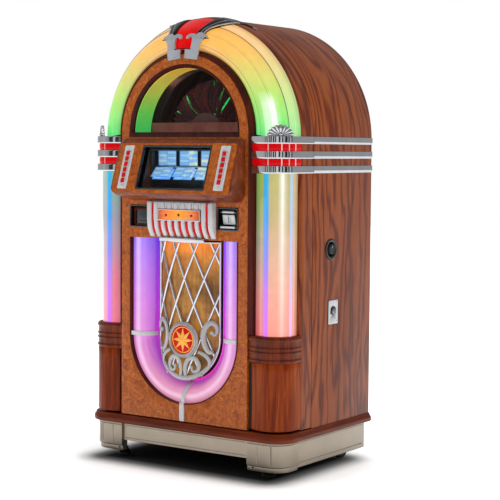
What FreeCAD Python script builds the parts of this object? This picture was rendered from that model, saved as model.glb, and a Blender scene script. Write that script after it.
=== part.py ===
import FreeCAD, Part
import math
import os
import re

import Sketcher

# A free-standing music machine: a wooden cabinet with an arched top, and a deep lit door on
# its front that carries the light columns, the arch, the title console and the grille.
# Millimetres.  X is the width, Y runs from front to back, Z is up, and the floor is z = 0.

Vector = FreeCAD.Vector

DIMENSIONS = [
    # Cabinet shell
    ("half_width", 400, "half the width over the side panels"),
    ("board", 18, "thickness of the shell boards"),
    ("back_y", 309, "rear face of the cabinet"),
    ("seam_y", -64, "middle of the gap between cabinet and door"),
    ("half_seam", 1.5, "half the gap between cabinet and door"),
    ("arch_z", 1092, "height of the centre of the outer arch"),
    ("ring_z", 1107, "height of the centre of the burl ring and its reveal"),
    ("back_board", 15, "thickness of the back panel"),
    ("moulding_bottom", 125, "underside of the base moulding"),
    ("moulding_top", 154.5, "top of the base moulding"),
    ("moulding_half", 410, "half the width of the base moulding"),
    ("moulding_front", -240, "front of the base moulding"),
    ("moulding_round", 70, "corner radius of the base moulding"),
    ("floor_half", 370, "half the width of the cabinet floor"),
    ("floor_front", -190, "front edge of the cabinet floor"),
    ("floor_bottom", 130, "underside of the cabinet floor"),
    # Back panel
    ("vent_half", 120, "half the length of the vent slots"),
    ("vent_low", 300, "underside of the lowest vent slot"),
    ("vent_pitch", 24, "spacing of the vent slots"),
    ("vent_high", 8, "height of a vent slot"),
    ("inlet_in", 150, "inner side of the power inlet"),
    ("inlet_out", 204, "outer side of the power inlet"),
    ("inlet_low", 200, "underside of the power inlet"),
    ("inlet_high", 236, "top of the power inlet"),
    # Plinth
    ("plinth_half", 395, "half the width over the plinth corners"),
    ("plinth_front", -228, "front of the plinth corners"),
    ("plinth_round", 65, "corner radius of the plinth corners"),
    ("corner_bottom", 28, "underside of the plinth corners"),
    ("corner_wall", 30, "wall of the plinth corners"),
    ("corner_inner_x", 260, "inner end of the plinth corners"),
    ("corner_rear_y", -126.5, "rear end of the plinth corners"),
    ("foot_ring", 18, "height of the stepped ring under each plinth corner"),
    ("foot_step", 6, "how far the stepped ring is set in"),
    ("rail_bottom", 65, "underside of the front rail"),
    ("skirt_bottom", 34, "underside of the side and rear rails"),
    ("skirt_half", 389.5, "half the width over the side rails"),
    ("rail_wall", 18, "thickness of the plinth rails"),
    ("rail_front", -222, "front of the front rail"),
    ("skirt_rear", 299, "rear of the plinth"),
    # Feet and castors
    ("foot_x", 300, "levelling foot, distance from the centre"),
    ("foot_y", -160, "levelling foot, distance from the centre"),
    ("foot_pad_radius", 24, "radius of a levelling foot's pad"),
    ("foot_pad_height", 20, "height of a levelling foot's pad"),
    ("stem_radius", 6, "radius of a levelling foot's stem"),
    ("stem_top", 104, "top of a levelling foot's stem"),
    ("running", 0.05, "radial clearance of a turning or sliding shaft"),
    ("castor_x", 330, "castor wheel, distance from the centre"),
    ("castor_y", 235, "castor axle, distance from the centre"),
    ("wheel_radius", 37.5, "radius of a castor wheel"),
    ("wheel_width", 24, "width of a castor wheel"),
    ("axle_radius", 5, "radius of a castor axle"),
    ("cheek_in", 14, "inner face of a castor cheek, from the wheel's middle"),
    ("cheek_out", 18, "outer face of a castor cheek, from the wheel's middle"),
    ("cheek_top", 82, "top of the castor cheeks"),
    ("block_half", 35, "half the width of the blocks the screw feet turn in"),
    ("block_bottom", 80, "underside of those blocks"),
    # Door
    ("door_bottom", 158, "underside of the door"),
    ("strip_front", -128, "front edge of the door's wooden rim"),
    ("reveal_in", 260, "inner face of the dark reveal, and half width of the front panel"),
    ("reveal_out", 275, "outer face of the dark reveal"),
    ("reveal_front", -216, "front edge of the dark reveal"),
    ("panel_front", -229, "front face of the burl panel"),
    ("panel_back", -214, "rear face of the burl panel"),
    ("reflector_front", -80, "front face of the reflector board"),
    ("door_back", -65.5, "rear face of the door"),
    ("lens_wall", 4, "wall of the lit plastic parts"),
    ("column_x", 325, "centre of the light column's round corner"),
    ("column_y", -158, "centre of the light column's round corner"),
    ("column_round", 62, "radius of the light column's round corner"),
    ("column_bottom", 465, "lower end of the light columns"),
    ("column_top", 983, "upper end of the light columns"),
    ("base_proud", 13, "how far the wooden column bases stand out from the light columns"),
    ("collar_bottom", 380, "underside of the turned collars"),
    ("collar_proud", 16, "how far the turned collars stand out"),
    ("band_proud", 15.5, "how far the chrome bands stand out"),
    ("band_wall", 1.6, "thickness of the chrome bands"),
    ("band_one", 983, "underside of the lowest band"),
    ("band_two", 1030, "underside of the middle band"),
    ("band_three", 1077, "underside of the top band"),
    ("band_height", 24, "height of each chrome band"),
    ("rim_sill", 30, "height of the wood along the bottom of the door's rim"),
    ("titles_half", 230, "half the width of the opening behind the console"),
    ("titles_low", 925, "underside of the opening behind the console"),
    ("titles_high", 1075, "top of the opening behind the console"),
    ("selector_half", 118, "half the width of the opening behind the selector"),
    ("selector_low", 800, "underside of the opening behind the selector"),
    ("selector_high", 878, "top of the opening behind the selector"),
    # Window
    ("window_z", 1110, "flat bottom of the window"),
    ("window_radius", 225, "opening in the burl panel"),
    ("bezel_inner", 205, "inner radius of the dark window ring"),
    ("bezel_front", -231, "front of the dark window ring"),
    ("sill_z", 1097, "underside of the window sill"),
    ("liner_radius", 218, "outer radius of the lit liner behind the glass"),
    ("liner_back", -128, "rear edge of the lit liner"),
    # Title console
    ("console_half", 248, "half the width of the console"),
    ("console_top", 1090, "top of the console"),
    ("console_bottom", 906, "bottom front edge of the console"),
    ("console_heel", 886, "where the console's underside meets the panel"),
    ("console_z", 998, "middle of the sloping console face"),
    ("console_y", -281.62, "middle of the sloping console face"),
    ("console_tilt", 18.487, "slope of the console face from upright, in degrees"),
    ("face_high_y", -255.5, "upper edge of the sloping console face"),
    ("face_low_y", -309, "lower edge of the sloping console face"),
    ("face_high_z", 1076, "upper edge of the sloping console face"),
    ("face_low_z", 916, "lower edge of the sloping console face"),
    ("console_round", 36, "radius of the console's lower corners"),
    ("console_skin", 12, "wall of the console"),
    ("screen_half", 141, "half the width of the title window"),
    ("screen_high", 76, "half the height of the title window"),
    ("strip_in", 178, "inner edge of the button plates"),
    ("strip_out", 216, "outer edge of the button plates"),
    ("strip_high", 75, "half the height of the button plates"),
    ("key_x", 197, "middle of each column of buttons"),
    ("key_half", 6.8, "half the width of a button"),
    ("key_high", 7, "half the height of a button"),
    ("key_pitch", 19, "spacing of the buttons"),
    ("key_gap", 0.4, "gap round each button"),
    ("key_proud", 5.5, "how far each button stands out of its plate"),
    ("page_half", 37.5, "half the width of a title page"),
    ("page_high", 55, "height of a title page"),
    ("page_pitch", 88.5, "spacing of the title pages"),
    ("page_y", -201, "upright title pages"),
    ("page_hinge_z", 1000, "hinge line of the title pages"),
    ("page_lean", 43, "lean of the lower title pages from upright, in degrees"),
    # Selector grille, coin parts
    ("rib_pitch", 27.9, "spacing of the chrome ribs"),
    ("rib_width", 19, "width of a chrome rib"),
    ("rib_front", -250, "front of the ribs"),
    ("rib_top", 884, "top of the ribs' front face"),
    ("rib_bend", 816, "where the ribs curve back"),
    ("rib_bottom", 768, "bottom of the ribs"),
    ("label_half", 85.5, "half the width of the label plate"),
    ("label_bottom", 824.5, "bottom of the label plate"),
    ("label_top", 862, "top of the label plate"),
    ("cup_in", 141, "inner side of the coin recesses"),
    ("cup_out", 221, "outer side of the coin recesses"),
    ("cup_bottom", 798.5, "bottom of the coin recesses"),
    ("cup_top", 870, "top of the coin recesses"),
    ("cup_depth", 38, "depth of the coin recesses"),
    ("cup_wall", 3, "wall of the coin recesses"),
    ("coin_inset", 16, "how far the coin plate is set in from the recess"),
    ("chute_low", 540, "underside of the coin chute and top of the till"),
    ("till_low", 430, "underside of the coin till"),
    # Light tube and grille
    ("tube_z", 438, "centre of the light tube's round bottom"),
    ("tube_outer", 222, "outer radius of the light tube and its opening"),
    ("tube_inner", 138, "inner radius of the light tube"),
    ("tube_top", 763, "top of the light tube and its opening"),
    ("bow_radius", 248, "radius of the bowed grille"),
    ("bow_front", -222, "front of the bowed grille"),
    ("lattice_pitch", 75, "width of a lattice diamond"),
    ("lattice_bar", 7, "width of a lattice bar"),
    ("medallion_radius", 60, "radius of the medallion's chrome ring"),
    # Inside
    ("shelf_z", 682, "underside of the mechanism shelf"),
    ("deck_z", 700, "top of the mechanism shelf"),
    ("carousel_radius", 185, "outer radius of the stored discs"),
    ("carousel_front", -104, "front of the disc carousel"),
    ("carousel_back", 26, "rear of the disc carousel"),
    ("disc_radius", 60, "radius of a disc"),
    ("disc_thick", 1.2, "thickness of a disc"),
    ("disc_y", -40, "middle of the stored discs, front to back"),
    ("shaft_radius", 10, "radius of the carousel shaft"),
    ("spindle_z", 852, "height of the player's spindle"),
    ("chassis_half", 150, "half the width of the mechanism's base plate"),
    ("upright_half", 110, "half the width of the mechanism's upright plate"),
    ("upright_front", 36, "front of the upright plate"),
    ("upright_back", 42, "rear of the upright plate"),
    ("upright_top", 1150, "top of the upright plate"),
    ("gusset_top", 900, "top of the gussets"),
    ("gusset_rear", 160, "rear of the gussets"),
    ("motor_radius", 34, "radius of the carousel motor"),
    ("motor_front", 60, "front of the carousel motor"),
    ("motor_rear", 120, "rear of the carousel motor"),
    ("hub_radius", 56, "radius of the carousel drum"),
    ("cap_radius", 70, "radius of the carousel cap"),
    ("player_in", 16, "inner side of the player"),
    ("player_out", 70, "outer side of the player"),
    ("player_front", -90, "front of the player"),
    ("player_rear", 10, "rear of the player"),
    ("player_low", 760, "underside of the player"),
    ("player_high", 900, "top of the player"),
    ("spindle_radius", 4, "radius of the player's spindle"),
    ("rail_x", -60, "carriage rail, distance from the centre"),
    ("rail_y", 20, "carriage rail, distance from the centre"),
    ("rail_radius", 5, "radius of the carriage rail"),
    ("rail_top", 930, "top of the carriage rail"),
    ("carriage_low", 908, "underside of the carriage"),
    ("carriage_high", 926, "top of the carriage"),
    ("tweeter_x", 210, "tweeter, distance from the centre"),
    ("tweeter_hole", 38, "radius of the tweeter holes"),
    ("cone_radius", 124, "radius of the woofer's cone"),
    ("baffle_front", -60, "front of the speaker baffle"),
    ("woofer_radius", 140, "radius of the woofer"),
    ("tweeter_z", 622, "height of the tweeters"),
    # Side fittings
    ("knob_y", 49, "volume knob, distance from the centre"),
    ("knob_z", 733, "height of the volume knob"),
    ("flange_radius", 35, "radius of the volume knob's flange"),
    ("barrel_radius", 27, "radius of the cup behind the volume knob"),
    ("hollow_radius", 23, "radius of the hollow in that cup"),
    ("grip_radius", 17, "radius of the volume knob"),
    ("knob_stem", 3, "radius of the volume knob's stem"),
    ("lock_y", 64, "door lock, distance from the centre"),
    ("lock_z", 527, "height of the door lock"),
    ("plug_radius", 10, "radius of the lock's plug"),
    ("sleeve_radius", 12, "radius of the sleeve round the plug"),
    ("cam_reach", 16, "distance of the cam's finger from the middle of the lock"),
    ("bolt_x", 35, "middle of the bolt, in from the side of the cabinet"),
    ("hinge_leaf", 30, "width of a hinge leaf and height of a knuckle"),
    ("knuckle_gap", 0.3, "gap between the knuckles"),
    ("hinge_x", -405.5, "axis of the door hinge"),
    ("hinge_radius", 4.5, "outer radius of the hinge knuckles"),
    ("pin_radius", 2, "radius of the hinge pins"),
]

SIZES = {alias: value for alias, value, _ in DIMENSIONS}
SLOTS = 50
CAM_REST = -45
KEYS_PER_COLUMN = 6
RIBS = 10
VENTS = 6
FINS = 15
HINGES = (200, 540, 880)

doc = FreeCAD.newDocument("jukebox")
nodes = []


# ---------------------------------------------------------------- dimensions

def fill_sheet():
    """Write every driving dimension, its alias and its meaning into the spreadsheet."""
    sheet = doc.addObject("Spreadsheet::Sheet", "dims")
    for row, (alias, value, meaning) in enumerate(DIMENSIONS, 1):
        sheet.set(f"A{row}", alias)
        sheet.set(f"B{row}", str(value))
        sheet.set(f"C{row}", meaning)
        sheet.setAlias(f"B{row}", alias)
    doc.recompute()


def number(text):
    """Work out a sum of products of aliases and numbers, such as 'half_width - board / 2'."""
    total = 0.0
    for sign, term in re.findall(r"([+-]?)\s*([^+-]+)", str(text)):
        value = 1.0
        for operator, factor in re.findall(r"([*/]?)\s*([\w.]+)", term):
            size = SIZES[factor] if factor in SIZES else float(factor)
            value = value / size if operator == "/" else value * size
        total += -value if sign == "-" else value
    return total


def bound(text):
    """The same sum as an expression on the spreadsheet's cells."""
    return re.sub(r"[A-Za-z_]\w*", lambda name: "dims." + name.group(0), str(text))


def minus(high, low):
    return f"{high} - ({low})" if re.search(r"[+-]", str(low)) else f"{high} - {low}"


def negative(text):
    """The same sum with every sign turned round."""
    return "0 - " + text.replace("+", "~").replace("-", "+").replace("~", "-")


def bind(item, path, text):
    item.setExpression(path, bound(text))


# ---------------------------------------------------------------- solids

def place(item, x="0", y="0", z="0"):
    bind(item, "Placement.Base.x", x)
    bind(item, "Placement.Base.y", y)
    bind(item, "Placement.Base.z", z)


def box(name, x, y, z):
    """A block between two planes in each direction."""
    item = doc.addObject("Part::Box", name)
    bind(item, "Length", minus(x[1], x[0]))
    bind(item, "Width", minus(y[1], y[0]))
    bind(item, "Height", minus(z[1], z[0]))
    place(item, x[0], y[0], z[0])
    return item


def cylinder(name, axis, radius, span, x="0", y="0", z="0"):
    """A round bar along axis, between the two ends in span."""
    item = doc.addObject("Part::Cylinder", name)
    bind(item, "Radius", radius)
    bind(item, "Height", minus(span[1], span[0]))
    if axis == "x":
        item.Placement.Rotation = FreeCAD.Rotation(Vector(0, 1, 0), 90)
        place(item, span[0], y, z)
    elif axis == "y":
        item.Placement.Rotation = FreeCAD.Rotation(Vector(1, 0, 0), -90)
        place(item, x, span[0], z)
    else:
        place(item, x, y, span[0])
    return item


def cut(name, base, *tools):
    """Base with every tool taken away."""
    item = doc.addObject("Part::Cut", name)
    item.Base = base
    item.Tool = tools[0] if len(tools) == 1 else group(name + "_tools", *tools)
    return item


def fuse(name, *parts):
    item = doc.addObject("Part::MultiFuse", name)
    item.Shapes = list(parts)
    return item


def common(name, base, tool):
    item = doc.addObject("Part::Common", name)
    item.Base = base
    item.Tool = tool
    return item


def group(name, *parts):
    """Separate solids kept together under one name."""
    item = doc.addObject("Part::Compound", name)
    item.Links = list(parts)
    return item


def mirrored(name, part):
    """The same part on the other side of the machine."""
    item = doc.addObject("Part::Mirroring", name)
    item.Source = part
    item.Normal = Vector(1, 0, 0)
    return item


def pair(name, part):
    """A part and its mirror image."""
    return group(name, part, mirrored(name + "_other", part))


def feature(name, shape):
    item = doc.addObject("Part::Feature", name)
    item.Shape = shape
    return item


def tilted(name, part):
    """Move a part drawn on an upright console face at the origin to the sloping face."""
    item = group(name, part)
    item.Placement.Rotation = FreeCAD.Rotation(Vector(1, 0, 0), -number("console_tilt"))
    bind(item, "Placement.Rotation.Angle", "0 - console_tilt")
    place(item, "0", "console_y", "console_z")
    return item


def keep(item):
    """Export this object as a node of its own."""
    nodes.append(item)
    return item


# ---------------------------------------------------------------- sketches

def pin(sketch, geometry, position, point, kinds=("DistanceX", "DistanceY")):
    """Hold one sketch point at distances from the origin that follow the spreadsheet."""
    for kind, text in zip(("DistanceX", "DistanceY"), point):
        if kind not in kinds:
            continue
        constraint = Sketcher.Constraint(kind, -1, 1, geometry, position, number(text))
        index = sketch.addConstraint(constraint)
        sketch.setExpression(f"Constraints[{index}]", bound(text))


def draw(sketch, loop):
    """Draw a closed loop.  (u, v) is a straight run to that corner; (u, v, centre u, centre v,
    turn) is an arc to it, where turn is 'left' for anticlockwise and 'right' for clockwise."""
    first = sketch.GeometryCount
    corners = [Vector(number(step[0]), number(step[1]), 0) for step in loop]
    ends = []
    for index, step in enumerate(loop):
        start, end = corners[index - 1], corners[index]
        if len(step) == 2:
            sketch.addGeometry(Part.LineSegment(start, end))
            ends.append((1, 2))
            continue
        centre = Vector(number(step[2]), number(step[3]), 0)
        angles = [math.atan2(p.y - centre.y, p.x - centre.x) for p in (start, end)]
        if step[4] == "right":
            angles.reverse()
        circle = Part.Circle(centre, Vector(0, 0, 1), (end - centre).Length)
        sketch.addGeometry(Part.ArcOfCircle(circle, *angles))
        ends.append((2, 1) if step[4] == "right" else (1, 2))
    for index in range(len(loop)):
        before = first + (index - 1) % len(loop)
        joint = Sketcher.Constraint("Coincident", before, ends[index - 1][1],
                                    first + index, ends[index][0])
        sketch.addConstraint(joint)
    for index, step in enumerate(loop):
        if len(step) == 2:
            pin(sketch, first + index, ends[index][1], step)
            continue
        # The radius already follows from the arc's start, so its end needs one distance.
        reach_x = abs(number(step[0]) - number(step[2]))
        reach_y = abs(number(step[1]) - number(step[3]))
        free = "DistanceX" if reach_x < reach_y else "DistanceY"
        pin(sketch, first + index, ends[index][1], step[:2], kinds=(free,))
        pin(sketch, first + index, 3, step[2:4])


def new_sketch(body, plane, offset, loops, name="outline"):
    sketch = body.newObject("Sketcher::SketchObject", name)
    sketch.AttachmentSupport = [(origin_plane(body, plane), "")]
    sketch.MapMode = "FlatFace"
    sketch.setExpression("AttachmentOffset.Base.z", offset)
    for loop in loops:
        draw(sketch, loop)
    return sketch


def origin_plane(body, plane):
    return next(item for item in body.Origin.OriginFeatures if item.Role == plane)


def padded(name, plane, span, *loops):
    """A PartDesign body: loops sketched across an axis and padded between the ends in span.
    XY_Plane pads along Z, YZ_Plane along X, and XZ_Plane along Y."""
    body = doc.addObject("PartDesign::Body", name)
    backwards = plane == "XZ_Plane"
    offset = f"-({bound(span[1])})" if backwards else bound(span[0])
    sketch = new_sketch(body, plane, offset, loops)
    pad = body.newObject("PartDesign::Pad", "pad")
    pad.Profile = sketch
    bind(pad, "Length", minus(span[1], span[0]))
    body.Tip = pad
    return body


def rectangle(u, v):
    """A four-cornered loop."""
    return [(u[1], v[0]), (u[1], v[1]), (u[0], v[1]), (u[0], v[0])]


def arch(half, bottom, centre="arch_z"):
    """Upright sides joined by a half circle."""
    return [(half, bottom), (half, centre), (negative(half), centre, "0", centre, "left"),
            (negative(half), bottom)]


def trough(half, top, centre="tube_z"):
    """A U-shaped outline: upright sides joined by a half circle below."""
    return [(negative(half), top), (negative(half), centre),
            (half, centre, "0", centre, "left"), (half, top)]


# ---------------------------------------------------------------- lit and curved shells

def ribbon(points, wall):
    """A thin face that follows points, with its wall on the right-hand side of the path."""
    inner = []
    for index, point in enumerate(points):
        before = points[max(index - 1, 0)]
        after = points[min(index + 1, len(points) - 1)]
        along = (after - before).normalize()
        inner.append(point + along.cross(Vector(0, 0, 1)) * wall)
    front, back = Part.BSplineCurve(), Part.BSplineCurve()
    front.interpolate(points)
    back.interpolate(inner)
    edges = [front.toShape(), Part.makeLine(points[-1], inner[-1]), back.toShape(),
             Part.makeLine(inner[0], points[0])]
    return Part.Face(Part.Wire(Part.__sortEdges__(edges)))


def corner_path(proud, inner_x, end_y):
    """Plan of a light column, moved outward by proud: a slightly bowed front, a round corner
    and a straight side."""
    x, y, radius = number("column_x"), number("column_y"), number("column_round") + proud
    points = [Vector(inner_x, y - radius + 11, 0), Vector((inner_x + x) / 2, y - radius + 4, 0)]
    for step in range(7):
        angle = math.radians(-90 + 15 * step)
        points.append(Vector(x + radius * math.cos(angle), y + radius * math.sin(angle), 0))
    points.append(Vector(x + radius, (y + end_y) / 2, 0))
    points.append(Vector(x + radius, end_y, 0))
    return list(reversed(points))


def column_wrap(proud, wall, bottom, top, inner_x, end_y):
    """A piece that wraps the outer corner of the door between two heights."""
    face = ribbon(corner_path(proud, inner_x, end_y), wall)
    face.translate(Vector(0, 0, bottom))
    return face.extrude(Vector(0, 0, top - bottom))


def turned_about_arch(points, wall, start, sweep):
    """Turn a ribbon drawn in (radius, y) about the arch's axis.  Angles are from +X, in
    degrees, anticlockwise seen from the front."""
    face = ribbon([Vector(radius, y, 0) for radius, y in reversed(points)], wall)
    face.rotate(Vector(), Vector(0, 1, 0), -start)
    face.translate(Vector(0, 0, number("arch_z")))
    return face.revolve(Vector(0, 0, number("arch_z")), Vector(0, -1, 0), sweep)


ARCH_SECTION = [(275.5, -207), (284, -216), (300, -218.5), (320, -215), (342, -205),
                (362, -184), (382, -156), (395, -130)]


def lifted(section, amount):
    """The arch section moved outward by amount, square to itself."""
    moved = []
    for index, (radius, y) in enumerate(section):
        before = section[max(index - 1, 0)]
        after = section[min(index + 1, len(section) - 1)]
        run, rise = after[0] - before[0], after[1] - before[1]
        length = math.hypot(run, rise)
        moved.append((radius + amount * rise / length, y - amount * run / length))
    return moved


# ---------------------------------------------------------------- cabinet

def side_panels():
    """Left and right boards; the right one has holes for the volume knob and the door lock."""
    y = ("seam_y + half_seam", "back_y")
    z = ("moulding_top", "arch_z")
    left = padded("side_panel_left", "YZ_Plane", ("0 - half_width", "board - half_width"),
                  rectangle(y, z))
    right = padded("side_panel_right_board", "YZ_Plane", ("half_width - board", "half_width"),
                   rectangle(y, z))
    knob_hole = cylinder("knob_hole", "x", "barrel_radius", ("half_width - 30", "half_width + 5"),
                         y="knob_y", z="knob_z")
    lock_hole = cylinder("lock_hole", "x", "sleeve_radius", ("half_width - 30", "half_width + 5"),
                         y="lock_y", z="lock_z")
    return left, cut("side_panel_right", right, knob_hole, lock_hole)


def cabinet_shell():
    """Two side boards and the bent board that joins them over the top."""
    ring = [("half_width", "arch_z"), ("0 - half_width", "arch_z", "0", "arch_z", "left"),
            ("board - half_width", "arch_z"),
            ("half_width - board", "arch_z", "0", "arch_z", "right")]
    top = padded("arched_top_panel", "XZ_Plane", ("seam_y + half_seam", "back_y"), ring)
    keep(group("cabinet_shell", *side_panels(), top))


def back_panel():
    """Removable back with vent slots, flush with the rear edges of the shell."""
    board = padded("back_board_blank", "XZ_Plane", ("back_y - back_board", "back_y"),
                   arch("half_width - board", "moulding_top"))
    slots = []
    for row in range(VENTS):
        low = f"vent_low + {row} * vent_pitch"
        slots.append(box(f"vent_{row}", ("0 - vent_half", "vent_half"), ("back_y - 20", "back_y + 5"),
                         (low, low + " + vent_high")))
    inlet = box("inlet_hole", ("inlet_in", "inlet_out"), ("back_y - 20", "back_y + 5"),
                ("inlet_low", "inlet_high"))
    panel = cut("vented_back", board, *slots, inlet)
    plate = box("inlet_plate", ("inlet_in - 4", "inlet_out + 4"), ("back_y - 18", "back_y - 15"),
                ("inlet_low - 6", "inlet_high + 6"))
    socket = box("inlet_socket", ("inlet_in + 2", "inlet_out - 2"),
                 ("back_y - 52", "back_y - 18"), ("inlet_low + 2", "inlet_high - 2"))
    keep(group("back_panel", panel, fuse("power_inlet", plate, socket)))


def base():
    """Cabinet floor, and the moulding that wraps its front and sides."""
    moulding = [("moulding_half", "back_y"), ("floor_half", "back_y"),
                ("floor_half", "floor_front"), ("0 - floor_half", "floor_front"),
                ("0 - floor_half", "back_y"), ("0 - moulding_half", "back_y"),
                ("0 - moulding_half", "moulding_front + moulding_round"),
                ("moulding_round - moulding_half", "moulding_front",
                 "moulding_round - moulding_half", "moulding_front + moulding_round", "left"),
                ("moulding_half - moulding_round", "moulding_front"),
                ("moulding_half", "moulding_front + moulding_round",
                 "moulding_half - moulding_round", "moulding_front + moulding_round", "left")]
    keep(padded("base_moulding", "XY_Plane", ("moulding_bottom", "moulding_top"), moulding))


def inner_boards():
    """Cabinet floor, blocks for the screw feet, mechanism shelf and speaker baffle."""
    floor = box("floor_panel", ("0 - floor_half", "floor_half"), ("floor_front", "back_y"),
                ("floor_bottom", "moulding_top"))
    shelf = box("mechanism_shelf", ("board - half_width", "half_width - board"),
                ("seam_y + 6", "back_y - back_board"), ("shelf_z", "deck_z"))
    keep(group("inner_boards", floor, foot_blocks(), shelf, speaker_baffle()))


def corner_loop(inset):
    """Plan of the right-hand plinth corner, set in all round by inset."""
    out_x, out_y = f"plinth_half - {inset}", f"plinth_front + {inset}"
    mid_x, mid_y = "plinth_half - plinth_round", "plinth_front + plinth_round"
    in_x, in_y = f"plinth_half - corner_wall + {inset}", f"plinth_front + corner_wall - {inset}"
    low_x, end_y = f"corner_inner_x + {inset}", f"corner_rear_y - {inset}"
    return [(low_x, out_y), (mid_x, out_y), (out_x, mid_y, mid_x, mid_y, "left"),
            (out_x, end_y), (in_x, end_y), (in_x, in_y), (low_x, in_y)]


def plinth():
    top = padded("plinth_corner_top", "XY_Plane", ("corner_bottom + foot_ring",
                 "moulding_bottom"), corner_loop("0"))
    ring = padded("plinth_corner_ring", "XY_Plane", ("corner_bottom",
                  "corner_bottom + foot_ring"), corner_loop("foot_step"))
    corners = pair("plinth_corner_feet", fuse("plinth_corner_foot", top, ring))
    front = box("plinth_front_rail", ("0 - corner_inner_x", "corner_inner_x"),
                ("rail_front", "rail_front + rail_wall"), ("rail_bottom", "moulding_bottom"))
    side = box("plinth_side", ("skirt_half - rail_wall", "skirt_half"),
               ("corner_rear_y", "skirt_rear"), ("skirt_bottom", "moulding_bottom"))
    sides = pair("plinth_side_rails", side)
    back = box("plinth_back_rail", ("rail_wall - skirt_half", "skirt_half - rail_wall"),
               ("skirt_rear - rail_wall", "skirt_rear"), ("skirt_bottom", "moulding_bottom"))
    keep(group("plinth", corners, front, sides, back))


def foot_blocks():
    block = box("foot_block", ("foot_x - block_half", "foot_x + block_half"),
                ("floor_front", "foot_y + block_half"),
                ("block_bottom", "floor_bottom"))
    bore = cylinder("foot_bore", "z", "stem_radius + running", ("70", "120"),
                    x="foot_x", y="foot_y")
    return pair("foot_blocks", cut("foot_block_bored", block, bore))


def levelling_feet():
    """Two screw feet at the front: a round pad, a nut and a stem."""
    pad = cylinder("foot_pad", "z", "foot_pad_radius", ("0", "foot_pad_height"),
                   x="foot_x", y="foot_y")
    nut = cylinder("foot_nut", "z", "11", ("foot_pad_height", "foot_pad_height + 9"),
                   x="foot_x", y="foot_y")
    stem = cylinder("foot_stem", "z", "stem_radius", ("foot_pad_height", "stem_top"),
                    x="foot_x", y="foot_y")
    right = keep(fuse("levelling_foot_right", pad, nut, stem))
    keep(mirrored("levelling_foot_left", right))


def castors():
    """Two fixed castors at the rear: a plate with two cheeks, an axle and a wheel."""
    plate = box("fork_plate", ("castor_x - 32", "castor_x + 32"),
                ("castor_y - 36", "castor_y + 36"), ("floor_bottom - 5", "floor_bottom"))
    spacer = box("fork_spacer", ("castor_x - 22", "castor_x + 22"),
                 ("castor_y - 24", "castor_y + 24"), ("cheek_top", "floor_bottom - 5"))
    cheeks = []
    for side, low, high in (("inner", "castor_x - cheek_out", "castor_x - cheek_in"),
                            ("outer", "castor_x + cheek_in", "castor_x + cheek_out")):
        cheeks.append(box(f"fork_cheek_{side}", (low, high), ("castor_y - 15", "castor_y + 15"),
                          ("wheel_radius - 12", "cheek_top")))
    bore = cylinder("fork_bore", "x", "axle_radius", ("castor_x - 30", "castor_x + 30"),
                    y="castor_y", z="wheel_radius")
    fork = cut("castor_fork", fuse("castor_fork_blank", plate, spacer, *cheeks), bore)
    axle = cylinder("castor_axle", "x", "axle_radius", ("castor_x - 20", "castor_x + 20"),
                    y="castor_y", z="wheel_radius")
    keep(pair("castor_forks", group("castor_fork_set", fork, axle)))
    half = "wheel_width / 2"
    tyre = cylinder("wheel_blank", "x", "wheel_radius",
                    (f"castor_x - {half}", f"castor_x + {half}"),
                    y="castor_y", z="wheel_radius")
    eye = cylinder("wheel_eye", "x", "axle_radius + running",
                   ("castor_x - 20", "castor_x + 20"), y="castor_y", z="wheel_radius")
    right = keep(cut("castor_wheel_right", tyre, eye))
    keep(mirrored("castor_wheel_left", right))


def cabinet_bands():
    """Three chrome bands along each side of the cabinet."""
    strips = []
    for count, bottom in enumerate(("band_one", "band_two", "band_three")):
        strips.append(box(f"cabinet_band_{count}", ("half_width", "half_width + 2.5"),
                          ("seam_y + half_seam", "back_y"),
                          (bottom, f"{bottom} + band_height")))
    keep(pair("cabinet_bands", group("cabinet_bands_right", *strips)))


def side_fittings():
    """Volume knob in a round cup, and the door lock with its cam and sliding bolt."""
    knob = {"y": "knob_y", "z": "knob_z"}
    flange = cylinder("cup_flange", "x", "flange_radius", ("half_width", "half_width + 4"), **knob)
    barrel = cylinder("cup_barrel", "x", "barrel_radius", ("half_width - 26", "half_width"), **knob)
    hollow = cylinder("cup_hollow", "x", "hollow_radius", ("half_width - 22", "half_width + 9"), **knob)
    bore = cylinder("cup_bore", "x", "knob_stem + running", ("half_width - 30", "half_width"), **knob)
    keep(cut("volume_cup", fuse("cup_blank", flange, barrel), hollow, bore))
    grip = cylinder("knob_grip", "x", "grip_radius", ("half_width - 18", "half_width + 6"), **knob)
    stem = cylinder("knob_stem", "x", "knob_stem", ("half_width - 34", "half_width - 18"), **knob)
    pointer = box("knob_pointer", ("half_width", "half_width + 7"), ("knob_y - 1", "knob_y + 1"),
                  ("knob_z + 6", "knob_z + 16"))
    keep(fuse("volume_knob", grip, stem, pointer))
    plate = box("lock_plate_blank", ("half_width", "half_width + 2.5"),
                ("lock_y - 29", "lock_y + 29"), ("lock_z - 42", "lock_z + 38"))
    lock = {"y": "lock_y", "z": "lock_z"}
    plate_bore = cylinder("plate_bore", "x", "plug_radius + running",
                          ("half_width - 5", "half_width + 5"), **lock)
    sleeve = cylinder("lock_sleeve", "x", "sleeve_radius", ("half_width - 22", "half_width"), **lock)
    sleeve_bore = cylinder("sleeve_bore", "x", "plug_radius + running",
                           ("half_width - 30", "half_width + 5"), **lock)
    keep(fuse("lock_plate", cut("lock_plate_face", plate, plate_bore),
              cut("lock_sleeve_bored", sleeve, sleeve_bore)))
    lock_plug(lock)
    latch_bolt()


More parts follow.
